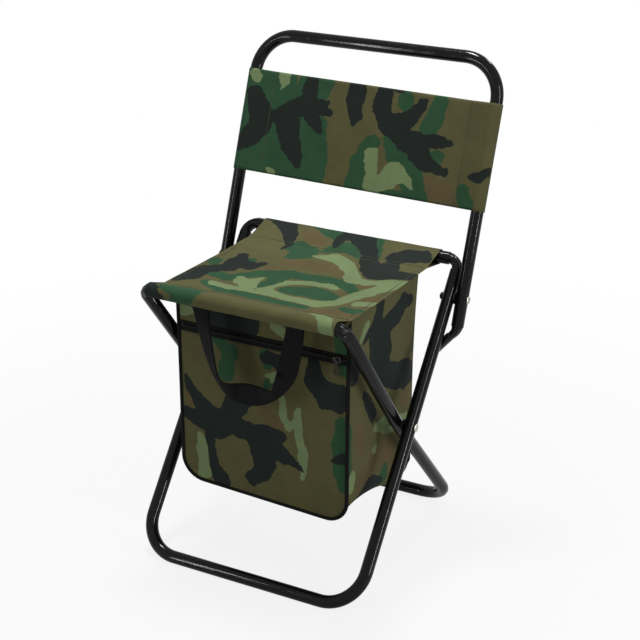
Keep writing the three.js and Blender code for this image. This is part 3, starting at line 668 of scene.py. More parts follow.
# The camouflage print: strokes in millimetres on each panel, as places across, along and a radius.
# On the seat they run back from the front bar, and on the side from the front to the rear.
BAND_PRINT = {
    "brown": [
        [(38, 178, 9), (28, 172, 7)], [(100, 135, 13), (120, 128, 15), (130, 118, 10)],
        [(-58, 124, 10), (-68, 136, 5)],
    ],
    "green": [
        [(-168, 240, 20), (-166, 180, 24), (-164, 126, 22)],
        [(-130, 238, 24), (-124, 180, 26), (-124, 130, 24)],
        [(-90, 240, 16), (-84, 190, 24), (-80, 130, 24)], [(-176, 192, 11), (-172, 176, 9)],
        [(-172, 126, 14), (-132, 134, 17), (-104, 124, 16), (-74, 146, 18), (-66, 186, 13)],
        [(-64, 242, 11), (-68, 226, 9)], [(-60, 160, 13), (-54, 124, 10)],
        [(14, 176, 10), (4, 150, 15), (0, 122, 16)],
        [(40, 176, 12), (62, 160, 22), (80, 132, 18), (94, 116, 8), (40, 112, 10)],
        [(52, 236, 12), (58, 226, 8)], [(98, 240, 10), (94, 220, 13), (88, 202, 12)],
        [(106, 172, 8), (90, 173, 4)], [(150, 132, 12), (158, 120, 11)],
    ],
    "pale": [
        [(-166, 242, 8), (-163, 238, 8)], [(-126, 247, 9), (-127, 240, 8), (-130, 226, 2)],
        [(16, 162, 9), (19, 122, 9), (34, 130, 12), (54, 142, 15), (64, 140, 8), (76, 130, 4)],
        [(-136, 124, 2), (-124, 114, 6)],
    ],
    "black": [
        [(-164, 214, 11), (-154, 196, 15), (-150, 172, 14), (-166, 154, 12), (-178, 146, 9)],
        [(-128, 190, 11), (-112, 178, 18), (-104, 160, 15), (-94, 142, 9), (-88, 130, 5)],
        [(-122, 194, 10), (-98, 208, 13), (-76, 210, 11), (-54, 206, 5)],
        [(-86, 248, 10), (-86, 216, 11)], [(-66, 214, 9), (-58, 218, 4)],
        [(-80, 198, 10), (-70, 188, 8), (-64, 182, 5)],
        [(-18, 246, 13), (-19, 228, 13), (-16, 208, 9), (-17, 200, 5)],
        [(20, 246, 11), (20, 222, 14), (30, 204, 14), (52, 192, 15), (76, 174, 13), (96, 160, 10),
        (116, 156, 6)], [(44, 208, 11), (62, 214, 11), (72, 228, 8), (73, 236, 6)],
        [(70, 190, 9), (106, 189, 8), (121, 190, 4)], [(30, 248, 5), (46, 247, 2)],
        [(156, 155, 4), (168, 156, 7), (178, 166, 6)],
    ],
}
SEAT_PRINT = {
    "brown": [
        [(-58, 258, 7), (-44, 252, 12), (-24, 246, 6)],
        [(-40, 180, 14), (-14, 184, 14), (18, 186, 12), (42, 176, 9)], [(84, 150, 8), (92, 156, 7)],
        [(106, 112, 9), (116, 104, 9)], [(80, 44, 10), (96, 52, 11), (118, 50, 9)], [(-94, 86, 7)],
        [(-46, 152, 9), (-42, 138, 7)],
    ],
    "green": [
        [(-62, 290, 12), (-34, 282, 18), (-10, 262, 10)],
        [(-54, 226, 14), (-34, 216, 18), (-46, 196, 8)],
        [(-10, 232, 9), (10, 246, 12), (36, 236, 10), (52, 250, 6)],
        [(40, 276, 11), (50, 252, 7), (60, 232, 4)],
        [(-88, 64, 8), (-62, 50, 9), (-20, 50, 10), (20, 48, 9), (58, 46, 8)],
        [(-96, 96, 10), (-74, 92, 12), (-62, 112, 8), (-44, 130, 10), (-20, 144, 13), (20, 150, 11),
        (58, 146, 13), (82, 126, 8)], [(-20, 124, 12), (-24, 96, 8), (-24, 78, 5)],
        [(14, 96, 14), (36, 104, 18), (58, 96, 18), (62, 86, 9)], [(-118, 132, 10), (-112, 120, 6)],
        [(-84, 160, 8), (-86, 142, 5)], [(118, 62, 9), (98, 68, 6)],
        [(-66, 16, 12), (-98, 4, 14), (-66, -2, 13), (-78, -14, 14)],
        [(-92, -30, 12), (-70, -34, 14)],
    ],
    "pale": [
        [(-17, 213, 3), (8, 214, 12), (30, 206, 12), (48, 184, 9), (62, 162, 10), (80, 160, 7),
        (104, 170, 10), (124, 168, 12)],
        [(112, 154, 13), (100, 130, 12), (92, 108, 11), (84, 86, 8), (62, 66, 12), (22, 68, 9),
        (-14, 76, 12)], [(108, 88, 9), (122, 90, 9)],
        [(-12, 78, 9), (-10, 100, 5), (-4, 122, 7), (20, 132, 7), (44, 132, 7), (58, 126, 4)],
        [(-80, 66, 6), (-56, 62, 9), (-30, 68, 8), (-14, 70, 8)],
        [(-60, 102, 7), (-52, 92, 13), (-38, 84, 11), (-40, 108, 6), (-38, 120, 3)],
        [(88, 22, 7), (100, 14, 11), (112, -4, 9), (116, -20, 9)],
    ],
    "black": [
        [(-136, 292, 8), (-110, 280, 12), (-88, 266, 14), (-74, 246, 9), (-66, 226, 5),
        (-66, 212, 3)],
        [(-8, 292, 16), (12, 280, 18), (32, 258, 14), (48, 236, 11), (60, 212, 13), (78, 192, 18),
        (108, 196, 14), (132, 196, 12)], [(-6, 262, 10), (-6, 242, 4)],
        [(80, 241, 12), (94, 251, 16), (110, 253, 13), (119, 249, 7)],
        [(80, 236, 8), (84, 216, 13)],
        [(-98, 168, 7), (-94, 140, 13), (-74, 142, 13), (-64, 158, 7)],
        [(-92, 122, 13), (-112, 104, 12), (-112, 74, 11), (-120, 52, 7)],
        [(-126, 8, 11), (-120, -14, 11), (-106, -27, 8), (-92, -33, 6)],
    ],
}
FRONT_PRINT = {
    "brown": [
        [(-107, 218, 5), (-103, 198, 6)], [(8, 214, 14), (24, 206, 8)], [(-52, 330, 8)],
    ],
    "green": [
        [(-62, 298, 9), (-44, 284, 13), (-50, 256, 11)], [(4, 292, 8), (8, 278, 6)],
        [(10, 258, 6), (6, 250, 4)],
        [(112, 222, 12), (106, 196, 11), (108, 164, 11), (114, 142, 6)],
        [(112, 292, 6), (110, 334, 12)],
    ],
    "pale": [
        [(-91, 160, 5), (-88, 138, 8), (-84, 110, 10)], [(28, 242, 5), (33, 222, 7), (39, 206, 4)],
        [(53, 232, 4), (51, 212, 6), (55, 190, 7), (60, 166, 6), (59, 142, 3)],
        [(38, 214, 3), (50, 210, 5)], [(8, 268, 2), (17, 268, 6), (16, 261, 3)],
        [(20, 332, 8), (30, 324, 6)], [(-110, 328, 9), (-102, 326, 7)],
    ],
    "black": [
        [(-108, 240, 4), (-102, 222, 8), (-88, 206, 11), (-66, 194, 13), (-36, 190, 16),
        (-4, 184, 14), (16, 188, 13), (26, 190, 10)],
        [(-110, 188, 8), (-88, 180, 13), (-58, 180, 14)],
        [(-44, 206, 13), (-32, 226, 18), (-18, 236, 14), (0, 240, 10)],
        [(-78, 172, 8), (-73, 146, 7), (-70, 124, 8), (-60, 108, 13)],
        [(-4, 172, 16), (4, 154, 15), (0, 136, 12), (-15, 122, 9)],
        [(20, 172, 12), (36, 165, 10), (50, 158, 6), (60, 151, 2)], [(6, 288, 9), (20, 286, 11)],
        [(68, 296, 8), (72, 276, 13), (88, 262, 15), (104, 260, 16), (114, 256, 12)],
        [(84, 248, 8), (106, 246, 8)], [(112, 182, 8), (98, 178, 4)],
        [(-58, 346, 20), (-22, 346, 20)], [(-60, 327, 20), (-21, 325, 19)],
    ],
}
SIDE_PRINT = {
    "brown": [
        [(84, 138, 14), (110, 148, 15), (142, 152, 13), (160, 140, 18), (168, 128, 14)],
        [(76, 206, 14), (84, 180, 10)], [(196, 204, 12)],
    ],
    "green": [
        [(146, 116, 11), (154, 126, 7)], [(216, 262, 5)],
        [(52, 220, 6), (50, 190, 8), (52, 150, 7)],
    ],
    "pale": [
        [(88, 336, 9), (78, 326, 6), (74, 318, 3)], [(62, 152, 8), (58, 140, 8)],
        [(128, 160, 5), (114, 163, 3)],
        [(128, 188, 6), (148, 184, 11), (172, 178, 12), (200, 172, 9)],
    ],
    "black": [
        [(118, 354, 12), (117, 328, 13), (98, 322, 9), (86, 316, 6)],
        [(120, 308, 18), (128, 282, 20), (142, 258, 18), (168, 242, 17), (196, 234, 19),
        (214, 230, 13)], [(132, 312, 17), (158, 324, 16), (180, 330, 15), (196, 330, 10)],
        [(142, 296, 13), (150, 284, 8)], [(58, 304, 10), (62, 282, 12)],
        [(90, 246, 6), (104, 232, 8), (120, 210, 12)],
        # These two low strokes on the right side are partly print and partly painted shade, darkening
        # the bottom of the side towards the rear.
        [(76, 112, 7), (104, 120, 13), (136, 112, 9)], [(214, 102, 12), (222, 92, 10)],
    ],
}


def flipped(pattern, across, along):
    """The same cloth cut from another place: each stroke mirrored about the given middles."""
    return {
        ink: [[(2 * across - u, 2 * along - v, r) for u, v, r in stroke] for stroke in strokes]
        for ink, strokes in pattern.items()
    }


def write_attribute(obj, name, kind, values):
    made = obj.data.attributes.new(name, kind, "POINT")
    key = "vector" if kind == "FLOAT_VECTOR" else "value"
    made.data.foreach_set(key, np.asarray(values, np.float32).ravel())


def lay_cloth(obj, u, v):
    """Stores each point's place on the flat cloth, in millimetres."""
    write_attribute(obj, "cloth", "FLOAT_VECTOR", columns(u, v, 0.0))


PRINT_WAVE = 4.0
PRINT_WAVE_SIZE = 21
FAR_OUTSIDE = -60.0


def stroke_field(u, v, strokes):
    """How far inside the nearest stroke each place is."""
    field = np.full(np.shape(u), FAR_OUTSIDE)
    for stroke in strokes:
        for (u0, v0, r0), (u1, v1, r1) in zip(stroke, stroke[1:] or stroke):
            du, dv = u1 - u0, v1 - v0
            along = clamp(((u - u0) * du + (v - v0) * dv) / max(du * du + dv * dv, 1e-9))
            off = np.hypot(u - u0 - along * du, v - v0 - along * dv)
            field = np.maximum(field, r0 + along * (r1 - r0) - off)
    return field


def print_camo(obj, u, v, *parts):
    """Prints the cloth with wavy strokes. Each part holds a pattern and where it shows, and its own
    places if they differ."""
    lay_cloth(obj, u, v)
    total = {ink: np.zeros_like(u) for ink in INK_SHADES}
    for pattern, shown, *places in parts:
        part_u, part_v = places or (u, v)
        spots = columns(part_u, part_v, 0.0)
        wavy_u = part_u + PRINT_WAVE * soft_noise(spots, PRINT_WAVE_SIZE, 51)
        wavy_v = part_v + PRINT_WAVE * soft_noise(spots, PRINT_WAVE_SIZE, 52)
        for ink in INK_SHADES:
            total[ink] = np.where(shown, stroke_field(wavy_u, wavy_v, pattern[ink]), total[ink])
    for ink in INK_SHADES:
        write_attribute(obj, "ink_" + ink, "FLOAT", total[ink])


STITCH_LENGTH = 3.4
STITCH_STEP = 4.4
STITCH_R = 0.38
STITCH_TIP = 0.45
STITCH_RISE = 1.1
STITCH_SINK = 0.35
STITCH_RINGS = 5
STITCH_SIDES = 6


def stitches(name, line, outward):
    """A row of thread stitches on a seam: line holds its points, outward the way off the cloth."""
    line = np.asarray(line, float)
    outward = unit(np.asarray(outward, float))
    lengths = run_lengths(line)
    count = int(lengths[-1] / STITCH_STEP)
    points, faces = [], []
    for i in range(count):
        at = (i + 0.5) * lengths[-1] / count
        spots = at + STITCH_LENGTH * np.linspace(-0.5, 0.5, STITCH_RINGS)
        path = columns(*(np.interp(spots, lengths, line[:, k]) for k in range(3)))
        aside = unit(np.cross(unit(path[-1] - path[0]), outward))
        first = len(points)
        for k, spot in enumerate(path):
            swell = math.sin(math.pi * (k + 0.6) / (STITCH_RINGS + 0.2))
            reach = STITCH_R * (STITCH_TIP + (1 - STITCH_TIP) * swell)
            lift = STITCH_R * (STITCH_RISE * swell - STITCH_SINK)
            points += list(spot + lift * outward + reach * spokes(aside, outward, STITCH_SIDES))
        faces += [tuple(first + n for n in face) for face in tube_faces(STITCH_RINGS, STITCH_SIDES)]
    return add_mesh(name, points, faces, THREAD)


def tunnel(stitch, straight=9, arc=15):
    """Outline of a hem round a bar at the origin, from its stitch line and back to it."""
    start = np.array((stitch, CLOTH / 2))
    first = math.atan2(CLOTH / 2, stitch) + math.acos(HEM_R / math.hypot(*start))
    sweep = np.linspace(first, 2 * math.pi - first, arc)
    round_bar = HEM_R * columns(np.cos(sweep), np.sin(sweep))
    line = start + (round_bar[0] - start) * np.arange(straight)[:, None] / straight
    return np.concatenate((line, round_bar, line[::-1] * (1, -1)))


# Back band: a flat tube of cloth with a tunnel round each upright
BAND_CLOTH = 0.36
BAND_FOLDS = ((0.9, 70), (0.3, 22))
BAND_HOLD = 25
BAND_PUCKER = 0.35
BAND_SEAM = 5
BAND_ROWS = 40
BAND_COLUMNS = 76
THREAD_LIFT = 0.1


def back_band():
    end = tunnel(BAND_STITCH)
    spread = BACK_X - BAND_STITCH
    front = columns(np.linspace(-spread, spread, BAND_COLUMNS)[1:-1], CLOTH / 2)
    right, left = end * (-1, 1) + (BACK_X, 0), end[::-1] - (BACK_X, 0)
    outline = np.concatenate((front, right, front[::-1] * (1, -1), left))
    rows = np.linspace(BAND_LOW, BAND_HIGH, BAND_ROWS)
    across, out = np.tile(outline, (len(rows), 1)).T
    along = np.repeat(rows, len(outline))
    spots = columns(across, 0.0, along)
    out_by = clamp((spread - np.abs(across)) / BAND_HOLD) * folds(spots, BAND_FOLDS, 1)
    seams = peak(np.abs(across), spread, BAND_SEAM)
    out_by += BAND_PUCKER * seams * soft_noise(spots * (0.3, 0, 1), 6, 3)
    slip = BAND_SLIP * (across + BACK_X) / (2 * BACK_X)
    placed = np.array([on_back(*p) for p in columns(across, out + out_by, along - slip)])
    band = add_mesh("back_band", placed, grid_faces(len(rows), len(outline), False, True), CAMO)
    rear = flipped(BAND_PRINT, 0, (BAND_LOW + BAND_HIGH) / 2)
    print_camo(band, across, along, (BAND_PRINT, out >= 0), (rear, out < 0))
    thicken(band, BAND_CLOTH)
    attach(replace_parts(band, "backrest_band"), "backrest")
    for side, word in ((1, "right"), (-1, "left")):
        slip = BAND_SLIP * (side * spread + BACK_X) / (2 * BACK_X)
        for out, face in ((1, "front"), (-1, "rear")):
            lift = out * (CLOTH / 2 + THREAD_LIFT)
            spots = [on_back(side * spread, lift, up - slip) for up in rows]
            ahead = on_back(0, out, 0) - BACK_PIVOT
            row = stitches(f"band_stitches_{face}_{word}", spots, ahead)
            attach(row, "backrest")


back_band()


# Seat: one strip of cloth, sewn into a tunnel round each seat bar
SEAT_SINK = math.radians(4)
SEAT_CLOTH = 0.4
SEAT_FOLDS = ((0.8, 60), (0.25, 18))
SEAT_HOLD = 30
SEAT_SEAM = 6
SEAM_PUCKER = 0.4
SEAM_INSET = 4
SEAM_POINTS = 60
EDGE_SEAM = 1.5
TACK_ENDS = (35, 95)
TACK_AHEAD = 9
ROLL_PUCKER = 0.22
SPAN_ROWS = 52
SEAT_COLUMNS = 64
FOLD_DEPTH = 0.55
EDGE_HOLD = 0.85


def seat_strip():
    """Points of the seat in Y and Z, from its seam under the front bar to its seam under the rear
    bar, and those of its span between the bars."""
    def hem(stitch, way):
        y, z = tunnel(stitch).T
        sunk = z * math.cos(SEAT_SINK) - y * math.sin(SEAT_SINK)
        return columns(way * (y * math.cos(SEAT_SINK) + z * math.sin(SEAT_SINK)), sunk)
    front = hem(FRONT_STITCH, 1)[::-1] + FRONT_BAR[1:]
    rear = hem(REAR_STITCH, -1) + REAR_BAR[1:]
    share = np.linspace(0, 1, SPAN_ROWS)[1:-1]
    span = front[-1] + share[:, None] * (rear[0] - front[-1])
    span[:, 1] -= SEAT_SAG * 4 * share * (1 - share)
    return np.concatenate((front, span, rear)), np.concatenate((front[-1:], span, rear[:1]))


SEAT_STRIP, SEAT_SPAN = seat_strip()


def edge_lift(x, y):
    """How much less the seat sags towards its side edges, which are held tight."""
    share = clamp((y - SEAT_SPAN[0, 0]) / (SEAT_SPAN[-1, 0] - SEAT_SPAN[0, 0]))
    return EDGE_HOLD * SEAT_SAG * 4 * share * (1 - share) * clamp(np.abs(x) / SEAT_X) ** 2


def seat_height(x, y):
    return np.interp(y, *SEAT_SPAN.T) + edge_lift(x, y)


def seat_under(y, x=0.0):
    """Height of the seat's underside above a place of the bag."""
    return seat_height(x, y) - CLOTH


def folded_edges(half, fold, depth, count):
    """Columns across a cloth with both edges folded under: place, depth below, place when flat."""
    under = [(fold, 1), (fold / 2, 1), (1, 1), (0.25, 0.85)]
    over = [(0, 0.5), (0.25, 0.15), (1, 0)]
    right = [(half - back, depth * share, half + back) for back, share in under]
    right += [(half - back, depth * share, half - back) for back, share in over]
    left = [(-x, down, -u) for x, down, u in right]
    flat = [(x, 0, x) for x in np.linspace(2 - half, half - 2, count)]
    return np.array(left + flat + right[::-1])


def follow_fold(obj):
    """Bakes the piece's placement into its mesh."""
    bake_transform(obj)


def seat_cloth():
    across = folded_edges(SEAT_X, SEAT_FOLD, FOLD_DEPTH, SEAT_COLUMNS)
    tangent = np.gradient(SEAT_STRIP, axis=0)
    tangent /= np.linalg.norm(tangent, axis=1)[:, None]
    lengths = run_lengths(SEAT_STRIP)
    top = np.argmax(SEAT_STRIP[:len(SEAT_STRIP) // 2, 1])
    rows, ways = len(SEAT_STRIP), len(across)
    x, below, flat_u = np.tile(across, (rows, 1)).T
    y, z = np.repeat(SEAT_STRIP, ways, axis=0).T
    along_y, along_z = np.repeat(tangent, ways, axis=0).T
    flat_v = np.repeat(lengths - lengths[top], ways)
    spots = columns(x, y, z)
    past_front = y - FRONT_BAR[1] - FRONT_STITCH
    past_rear = REAR_BAR[1] - y - REAR_STITCH
    loose = clamp(past_front / SEAT_HOLD) * clamp(past_rear / SEAT_HOLD)
    slack = loose * folds(spots, SEAT_FOLDS, 4)
    seams = peak(past_front, 0, SEAT_SEAM) + peak(past_rear, 0, SEAT_SEAM)
    slack += SEAM_PUCKER * seams * soft_noise(spots * (1, 0.25, 0.25), 7, 6)
    roll = clamp(1 - np.minimum(y - FRONT_BAR[1], REAR_BAR[1] - y) / SEAT_HOLD)
    slack += ROLL_PUCKER * roll * (1 + soft_noise(spots * (0.5, 1, 1), 14, 7))
    depth = below - slack
    corner = np.clip(np.abs(x) - INNER_X + SEAT_BEND, 0, SEAT_BEND)
    drop = SEAT_BEND - np.sqrt(SEAT_BEND ** 2 - corner ** 2)
    drop *= clamp(-past_front / (FRONT_STITCH - HEM_R))
    leg = unit(FOLD_PIVOT[1:] - FRONT_BAR[1:])
    z = z - along_y * depth + drop * leg[1] + edge_lift(x, y)
    y = y + along_z * depth + drop * leg[0]
    seat = add_mesh("seat_cloth", columns(x, y, z), grid_faces(rows, ways), CAMO)
    print_camo(seat, flat_u, flat_v, (SEAT_PRINT, True))
    thicken(seat, SEAT_CLOTH)
    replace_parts(seat, "seat_panel", "seat_front_hem", "seat_rear_hem")
    follow_fold(seat)
    front_seam, rear_seam = FRONT_BAR[1] + FRONT_STITCH, REAR_BAR[1] - REAR_STITCH
    wide = SEAT_X - SEAM_INSET
    edge = SEAT_X - SEAT_FOLD + EDGE_SEAM
    tack = rear_seam - TACK_AHEAD
    for name, ends in (
        ("front", ((-wide, front_seam), (wide, front_seam))),
        ("rear", ((-wide, rear_seam), (wide, rear_seam))),
        ("rear_tack", [(x, tack) for x in TACK_ENDS]),
        ("left_edge", ((-edge, front_seam), (-edge, rear_seam))),
        ("right_edge", ((edge, front_seam), (edge, rear_seam))),
    ):
        spots = np.linspace(*ends, SEAM_POINTS)
        line = columns(*spots.T, seat_height(*spots.T) + THREAD_LIFT)
        row = stitches("seat_stitches_" + name, line, (0, 0, 1))
        follow_fold(row)


seat_cloth()


# Bag: a front and a back panel, a gusset round the sides and the bottom, and piping on two edges
FRONT_Y = BAG_FRONT + PIPING_R
REAR_Y = BAG_REAR - PIPING_R
RIM_X = BAG_X - PIPING_R
RIM_LOW = BAG_LOW + PIPING_R
RIM_CORNER = BAG_CORNER - PIPING_R
REAR_CORNER = 12
RIM_FLARE = 2
SIDE_POINTS = 40
TURN_POINTS = 11
BOTTOM_POINTS = 16
ROW_Y = FRONT_BAR[1]


def flatten(obj):
    """Gives the piece a mesh of its own."""
    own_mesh(obj)


def hang(points):
    """The foot of the bag hangs lower on the right."""
    points = np.array(points, float)
    low = clamp((ZIP_Z - points[:, 2]) / (ZIP_Z - RIM_LOW))
    points[:, 2] -= BAG_TILT * points[:, 0] / BAG_X * low
    return points


def half_width(z, corner):
    """How far a panel reaches to each side at a height."""
    under = np.clip(RIM_LOW + corner - z, 0, corner)
    rise = (z - RIM_LOW - corner) / (seat_under(FRONT_Y) - RIM_LOW - corner)
    return RIM_X - corner + np.sqrt(corner ** 2 - under ** 2) + RIM_FLARE * clamp(rise) ** 3


def rim(top, corner):
    """Places across and up along a panel's edge, from left top to right top, and the way inward."""
    side = [(-half_width(z, corner), z) for z in np.linspace(top, RIM_LOW + corner, SIDE_POINTS)]
    turn = np.linspace(math.pi, 1.5 * math.pi, TURN_POINTS)[1:]
    turn = columns(np.cos(turn), np.sin(turn))
    bend = corner * turn + (corner - RIM_X, RIM_LOW + corner)
    bottom = columns(np.linspace(corner - RIM_X, 0, BOTTOM_POINTS)[1:], RIM_LOW)
    half = np.concatenate((side, bend, bottom))
    inward = np.concatenate(([(1, 0)] * len(side), -turn, [(0, 1)] * len(bottom)))
    return [np.concatenate((part, part[-2::-1] * (-1, 1))) for part in (half, inward)]


PANEL_FOLDS = ((1.4, 55), (0.45, 17))
PANEL_COLUMNS = 60
PANEL_ROWS = 56
ROW_CROWDING = 1.25
PART_ROWS = 18


def panel(name, y, out, low, top, bulge, pattern, seed, inset=0.0):
    """A panel of the bag between two heights, or of its liner: out is the way it faces along Y."""
    whole = low <= RIM_LOW + inset
    rows, crowding = (PANEL_ROWS, ROW_CROWDING) if whole else (PART_ROWS, 1)
    heights = low + (top - low) * np.linspace(0, 1, rows) ** crowding
    across = np.linspace(-1, 1, PANEL_COLUMNS)
    corner = RIM_CORNER if out < 0 else REAR_CORNER
    x = np.outer(half_width(np.maximum(heights, RIM_LOW), corner) - inset, across).ravel()
    z = np.repeat(heights, len(across))
    rise = (z - low) / (top - low)
    swell = clamp(1 - (x / RIM_X) ** 2) ** 0.8 * clamp(np.sin(math.pi * rise ** 0.8))
    depth = bulge * swell + clamp(swell * 4) * folds(columns(x, 0.0, z), PANEL_FOLDS, seed)
    points = hang(columns(x, y + out * depth, z))
    made = add_mesh(name, points, grid_faces(len(heights), len(across)), CAMO if pattern else FOIL)
    if pattern:
        print_camo(made, x, z, (pattern, True))
    else:
        lay_cloth(made, x, z)
    return made


GUSSET_FOLDS = ((1.5, 48), (0.5, 16))
GUSSET_ROWS = 40
LINER_DROP = 6
SIDE_FLARE = 3.5
SIDE_VALLEY = 6.5
VALLEY_AT = (0.3, 0.35)
VALLEY_WIDTH = 0.2
REAR_ROLL = 3.5
ROLL_PEAK = (0.93, 0.06)
BOTTOM_TUCK = 6.5
TUCK_PEAK = (0.24, 0.25)
BOTTOM_SAG = 11
SAG_PEAK = (0.8, 0.17)
BOTTOM_HOLD = 0.03


def gusset(name, inset):
    """The strip round the sides and the bottom of the bag, or of its liner."""
    depths = 0.5 - 0.5 * np.cos(np.linspace(0, math.pi, GUSSET_ROWS))
    sections = []
    for depth in depths:
        y = FRONT_Y + (REAR_Y - FRONT_Y) * depth
        corner = RIM_CORNER + (REAR_CORNER - RIM_CORNER) * depth
        places, ways = rim(seat_under(y, RIM_X) - (LINER_DROP if inset else 0.0), corner)
        sections.append(columns(places[:, 0], y, places[:, 1], *ways.T, depth))
    rows = np.concatenate(sections)
    points, (in_x, in_z, depth) = rows[:, :3], rows[:, 3:].T
    top = seat_under((FRONT_Y + REAR_Y) / 2)
    rise = clamp((points[:, 2] - RIM_LOW) / (top - RIM_LOW))
    valley = peak(depth, VALLEY_AT[0] + VALLEY_AT[1] * (1 - rise), VALLEY_WIDTH)
    valley *= np.sin(math.pi * clamp(rise * 1.05)) ** 0.8
    side_push = SIDE_VALLEY * valley - REAR_ROLL * peak(depth, *ROLL_PEAK)
    creases = folds(points, GUSSET_FOLDS, 11)
    held = np.sin(math.pi * depth) ** 0.7
    push = held * (np.abs(in_x) * (side_push + creases) - np.abs(in_z) * creases)
    tucked = BOTTOM_TUCK * peak(depth, *TUCK_PEAK) * (1 - np.exp(-depth / BOTTOM_HOLD))
    sagged = BOTTOM_SAG * peak(depth, *SAG_PEAK) * (1 - np.exp((depth - 1) / BOTTOM_HOLD))
    push += np.abs(in_z) * (tucked - sagged)
    push -= np.abs(in_x) * SIDE_FLARE * rise ** 3 * clamp(depth * 3)
    push += inset
    points += columns(in_x * push, inset * (1 - 2 * depth), in_z * push)
    faces = grid_faces(len(depths), len(sections[0]))
    made = add_mesh(name, hang(points), faces, FOIL if inset else CAMO)
    x, across, along = points[:, 0], points[:, 1] - ROW_Y, points[:, 2]
    if inset:
        lay_cloth(made, across, along)
        return made
    left = flipped(SIDE_PRINT, (FRONT_Y + REAR_Y) / 2 - ROW_Y, (top + RIM_LOW) / 2)
    bottom = (SEAT_PRINT, np.abs(in_x) < 0.02, -x, across)
    print_camo(made, across, along, (left, True), (SIDE_PRINT, x > 0), bottom)
    return made


PIPING_SIDES = 14


def piping(name, y, corner, inset=0.0):
    """Piping along the edge of a panel."""
    places, ways = rim(seat_under(y, RIM_X), corner)
    places = places + inset * ways
    centre = hang(columns(places[:, 0], y, places[:, 1]))
    rings = []
    for spot, forward in zip(centre, np.gradient(centre, axis=0)):
        aside = unit(np.cross(unit(forward), (0, 1, 0)))
        rings.append(spot + PIPING_R * spokes(aside, (0, 1, 0), PIPING_SIDES))
    faces = grid_faces(len(centre), PIPING_SIDES, False, True)
    tube = add_mesh(name, np.concatenate(rings), faces, WEBBING)
    turn = np.tile(np.arange(PIPING_SIDES) * 2 * math.pi * PIPING_R / PIPING_SIDES, len(centre))
    lay_cloth(tube, turn, np.repeat(run_lengths(centre), PIPING_SIDES))
    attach(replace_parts(tube, name), "outer_frame")
    flatten(tube)


def bag_sheet(obj, node, thickness):
    thicken(obj, thickness)
    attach(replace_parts(obj, node), "outer_frame")
    flatten(obj)


TAPE_LOW = low_corner("zip_tape_lower")[2]
TAPE_HIGH = high_corner("zip_tape_upper")[2]
FRONT_BULGE = 4.5
UPPER_BULGE = 1.2
BACK_BULGE = 5
BACK_MIDDLE = 230
BACK_PRINT = flipped(FRONT_PRINT, 0, BACK_MIDDLE)
LINER = 3
LINER_GAP = 1.6
LINER_CURVE = 2


def bag():
    top_front, top_rear = seat_under(FRONT_Y), seat_under(REAR_Y)
    front, back = FRONT_Y + LINER_GAP, REAR_Y - LINER_GAP
    low, gap = RIM_LOW + LINER, LINER_GAP
    front_bulge, back_bulge = FRONT_BULGE - LINER_CURVE, BACK_BULGE - LINER_CURVE
    made = panel(
        "bag_front_lower_cloth", FRONT_Y, -1, RIM_LOW, TAPE_LOW, FRONT_BULGE, FRONT_PRINT, 21)
    bag_sheet(made, "bag_front_lower", CLOTH)
    made = panel(
        "bag_front_upper_cloth", FRONT_Y, -1, TAPE_HIGH, top_front, UPPER_BULGE, FRONT_PRINT, 23)
    bag_sheet(made, "bag_front_upper", CLOTH)
    made = panel("bag_back_cloth", REAR_Y, 1, RIM_LOW, top_rear, BACK_BULGE, BACK_PRINT, 25)
    bag_sheet(made, "bag_back", CLOTH)
    bag_sheet(gusset("bag_gusset_cloth", 0.0), "bag_gusset", CLOTH)
    made = panel("liner_front_sheet", front, -1, low, TAPE_LOW, front_bulge, None, 21, gap)
    bag_sheet(made, "liner_front", LINER)
    made = panel("liner_back_sheet", back, 1, low, top_rear - LINER, back_bulge, None, 25, gap)
    bag_sheet(made, "liner_back", LINER)
    bag_sheet(gusset("liner_gusset_sheet", gap), "liner_gusset", LINER)
    piping("piping_front", FRONT_Y, RIM_CORNER)
    piping("piping_rear", REAR_Y, REAR_CORNER, 2)


bag()


# Zip
TAPE_THICK = 0.6
TAPE_LAP = 0.5
TAPE_INSET = 1
TAPE_ROWS = 6
TAPE_COLUMNS = 90
TAPE_WAVE = 0.25
TAPE_WAVE_SIZE = 9
COIL_WIRE = 0.5
COIL_PITCH = 1.6
COIL_STEPS = 14
WIRE_SIDES = 6


def zip_tape(node):
    low, high = low_corner(node)[2], high_corner(node)[2]
    xs = np.linspace(-RIM_X + TAPE_INSET, RIM_X - TAPE_INSET, TAPE_COLUMNS)
    zs = np.linspace(low - TAPE_LAP, high + TAPE_LAP, TAPE_ROWS)
    x, z = (grid.ravel() for grid in np.meshgrid(xs, zs))
    points = columns(x, FRONT_Y - TAPE_LAP, z)
    points[:, 1] -= TAPE_WAVE * soft_noise(points, TAPE_WAVE_SIZE, 31)
    tape = add_mesh(node + "_cloth", points, grid_faces(len(zs), len(xs)), WEBBING)
    lay_cloth(tape, x, z)
    thicken(tape, TAPE_THICK)
    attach(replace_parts(tape, node), "outer_frame")
    flatten(tape)


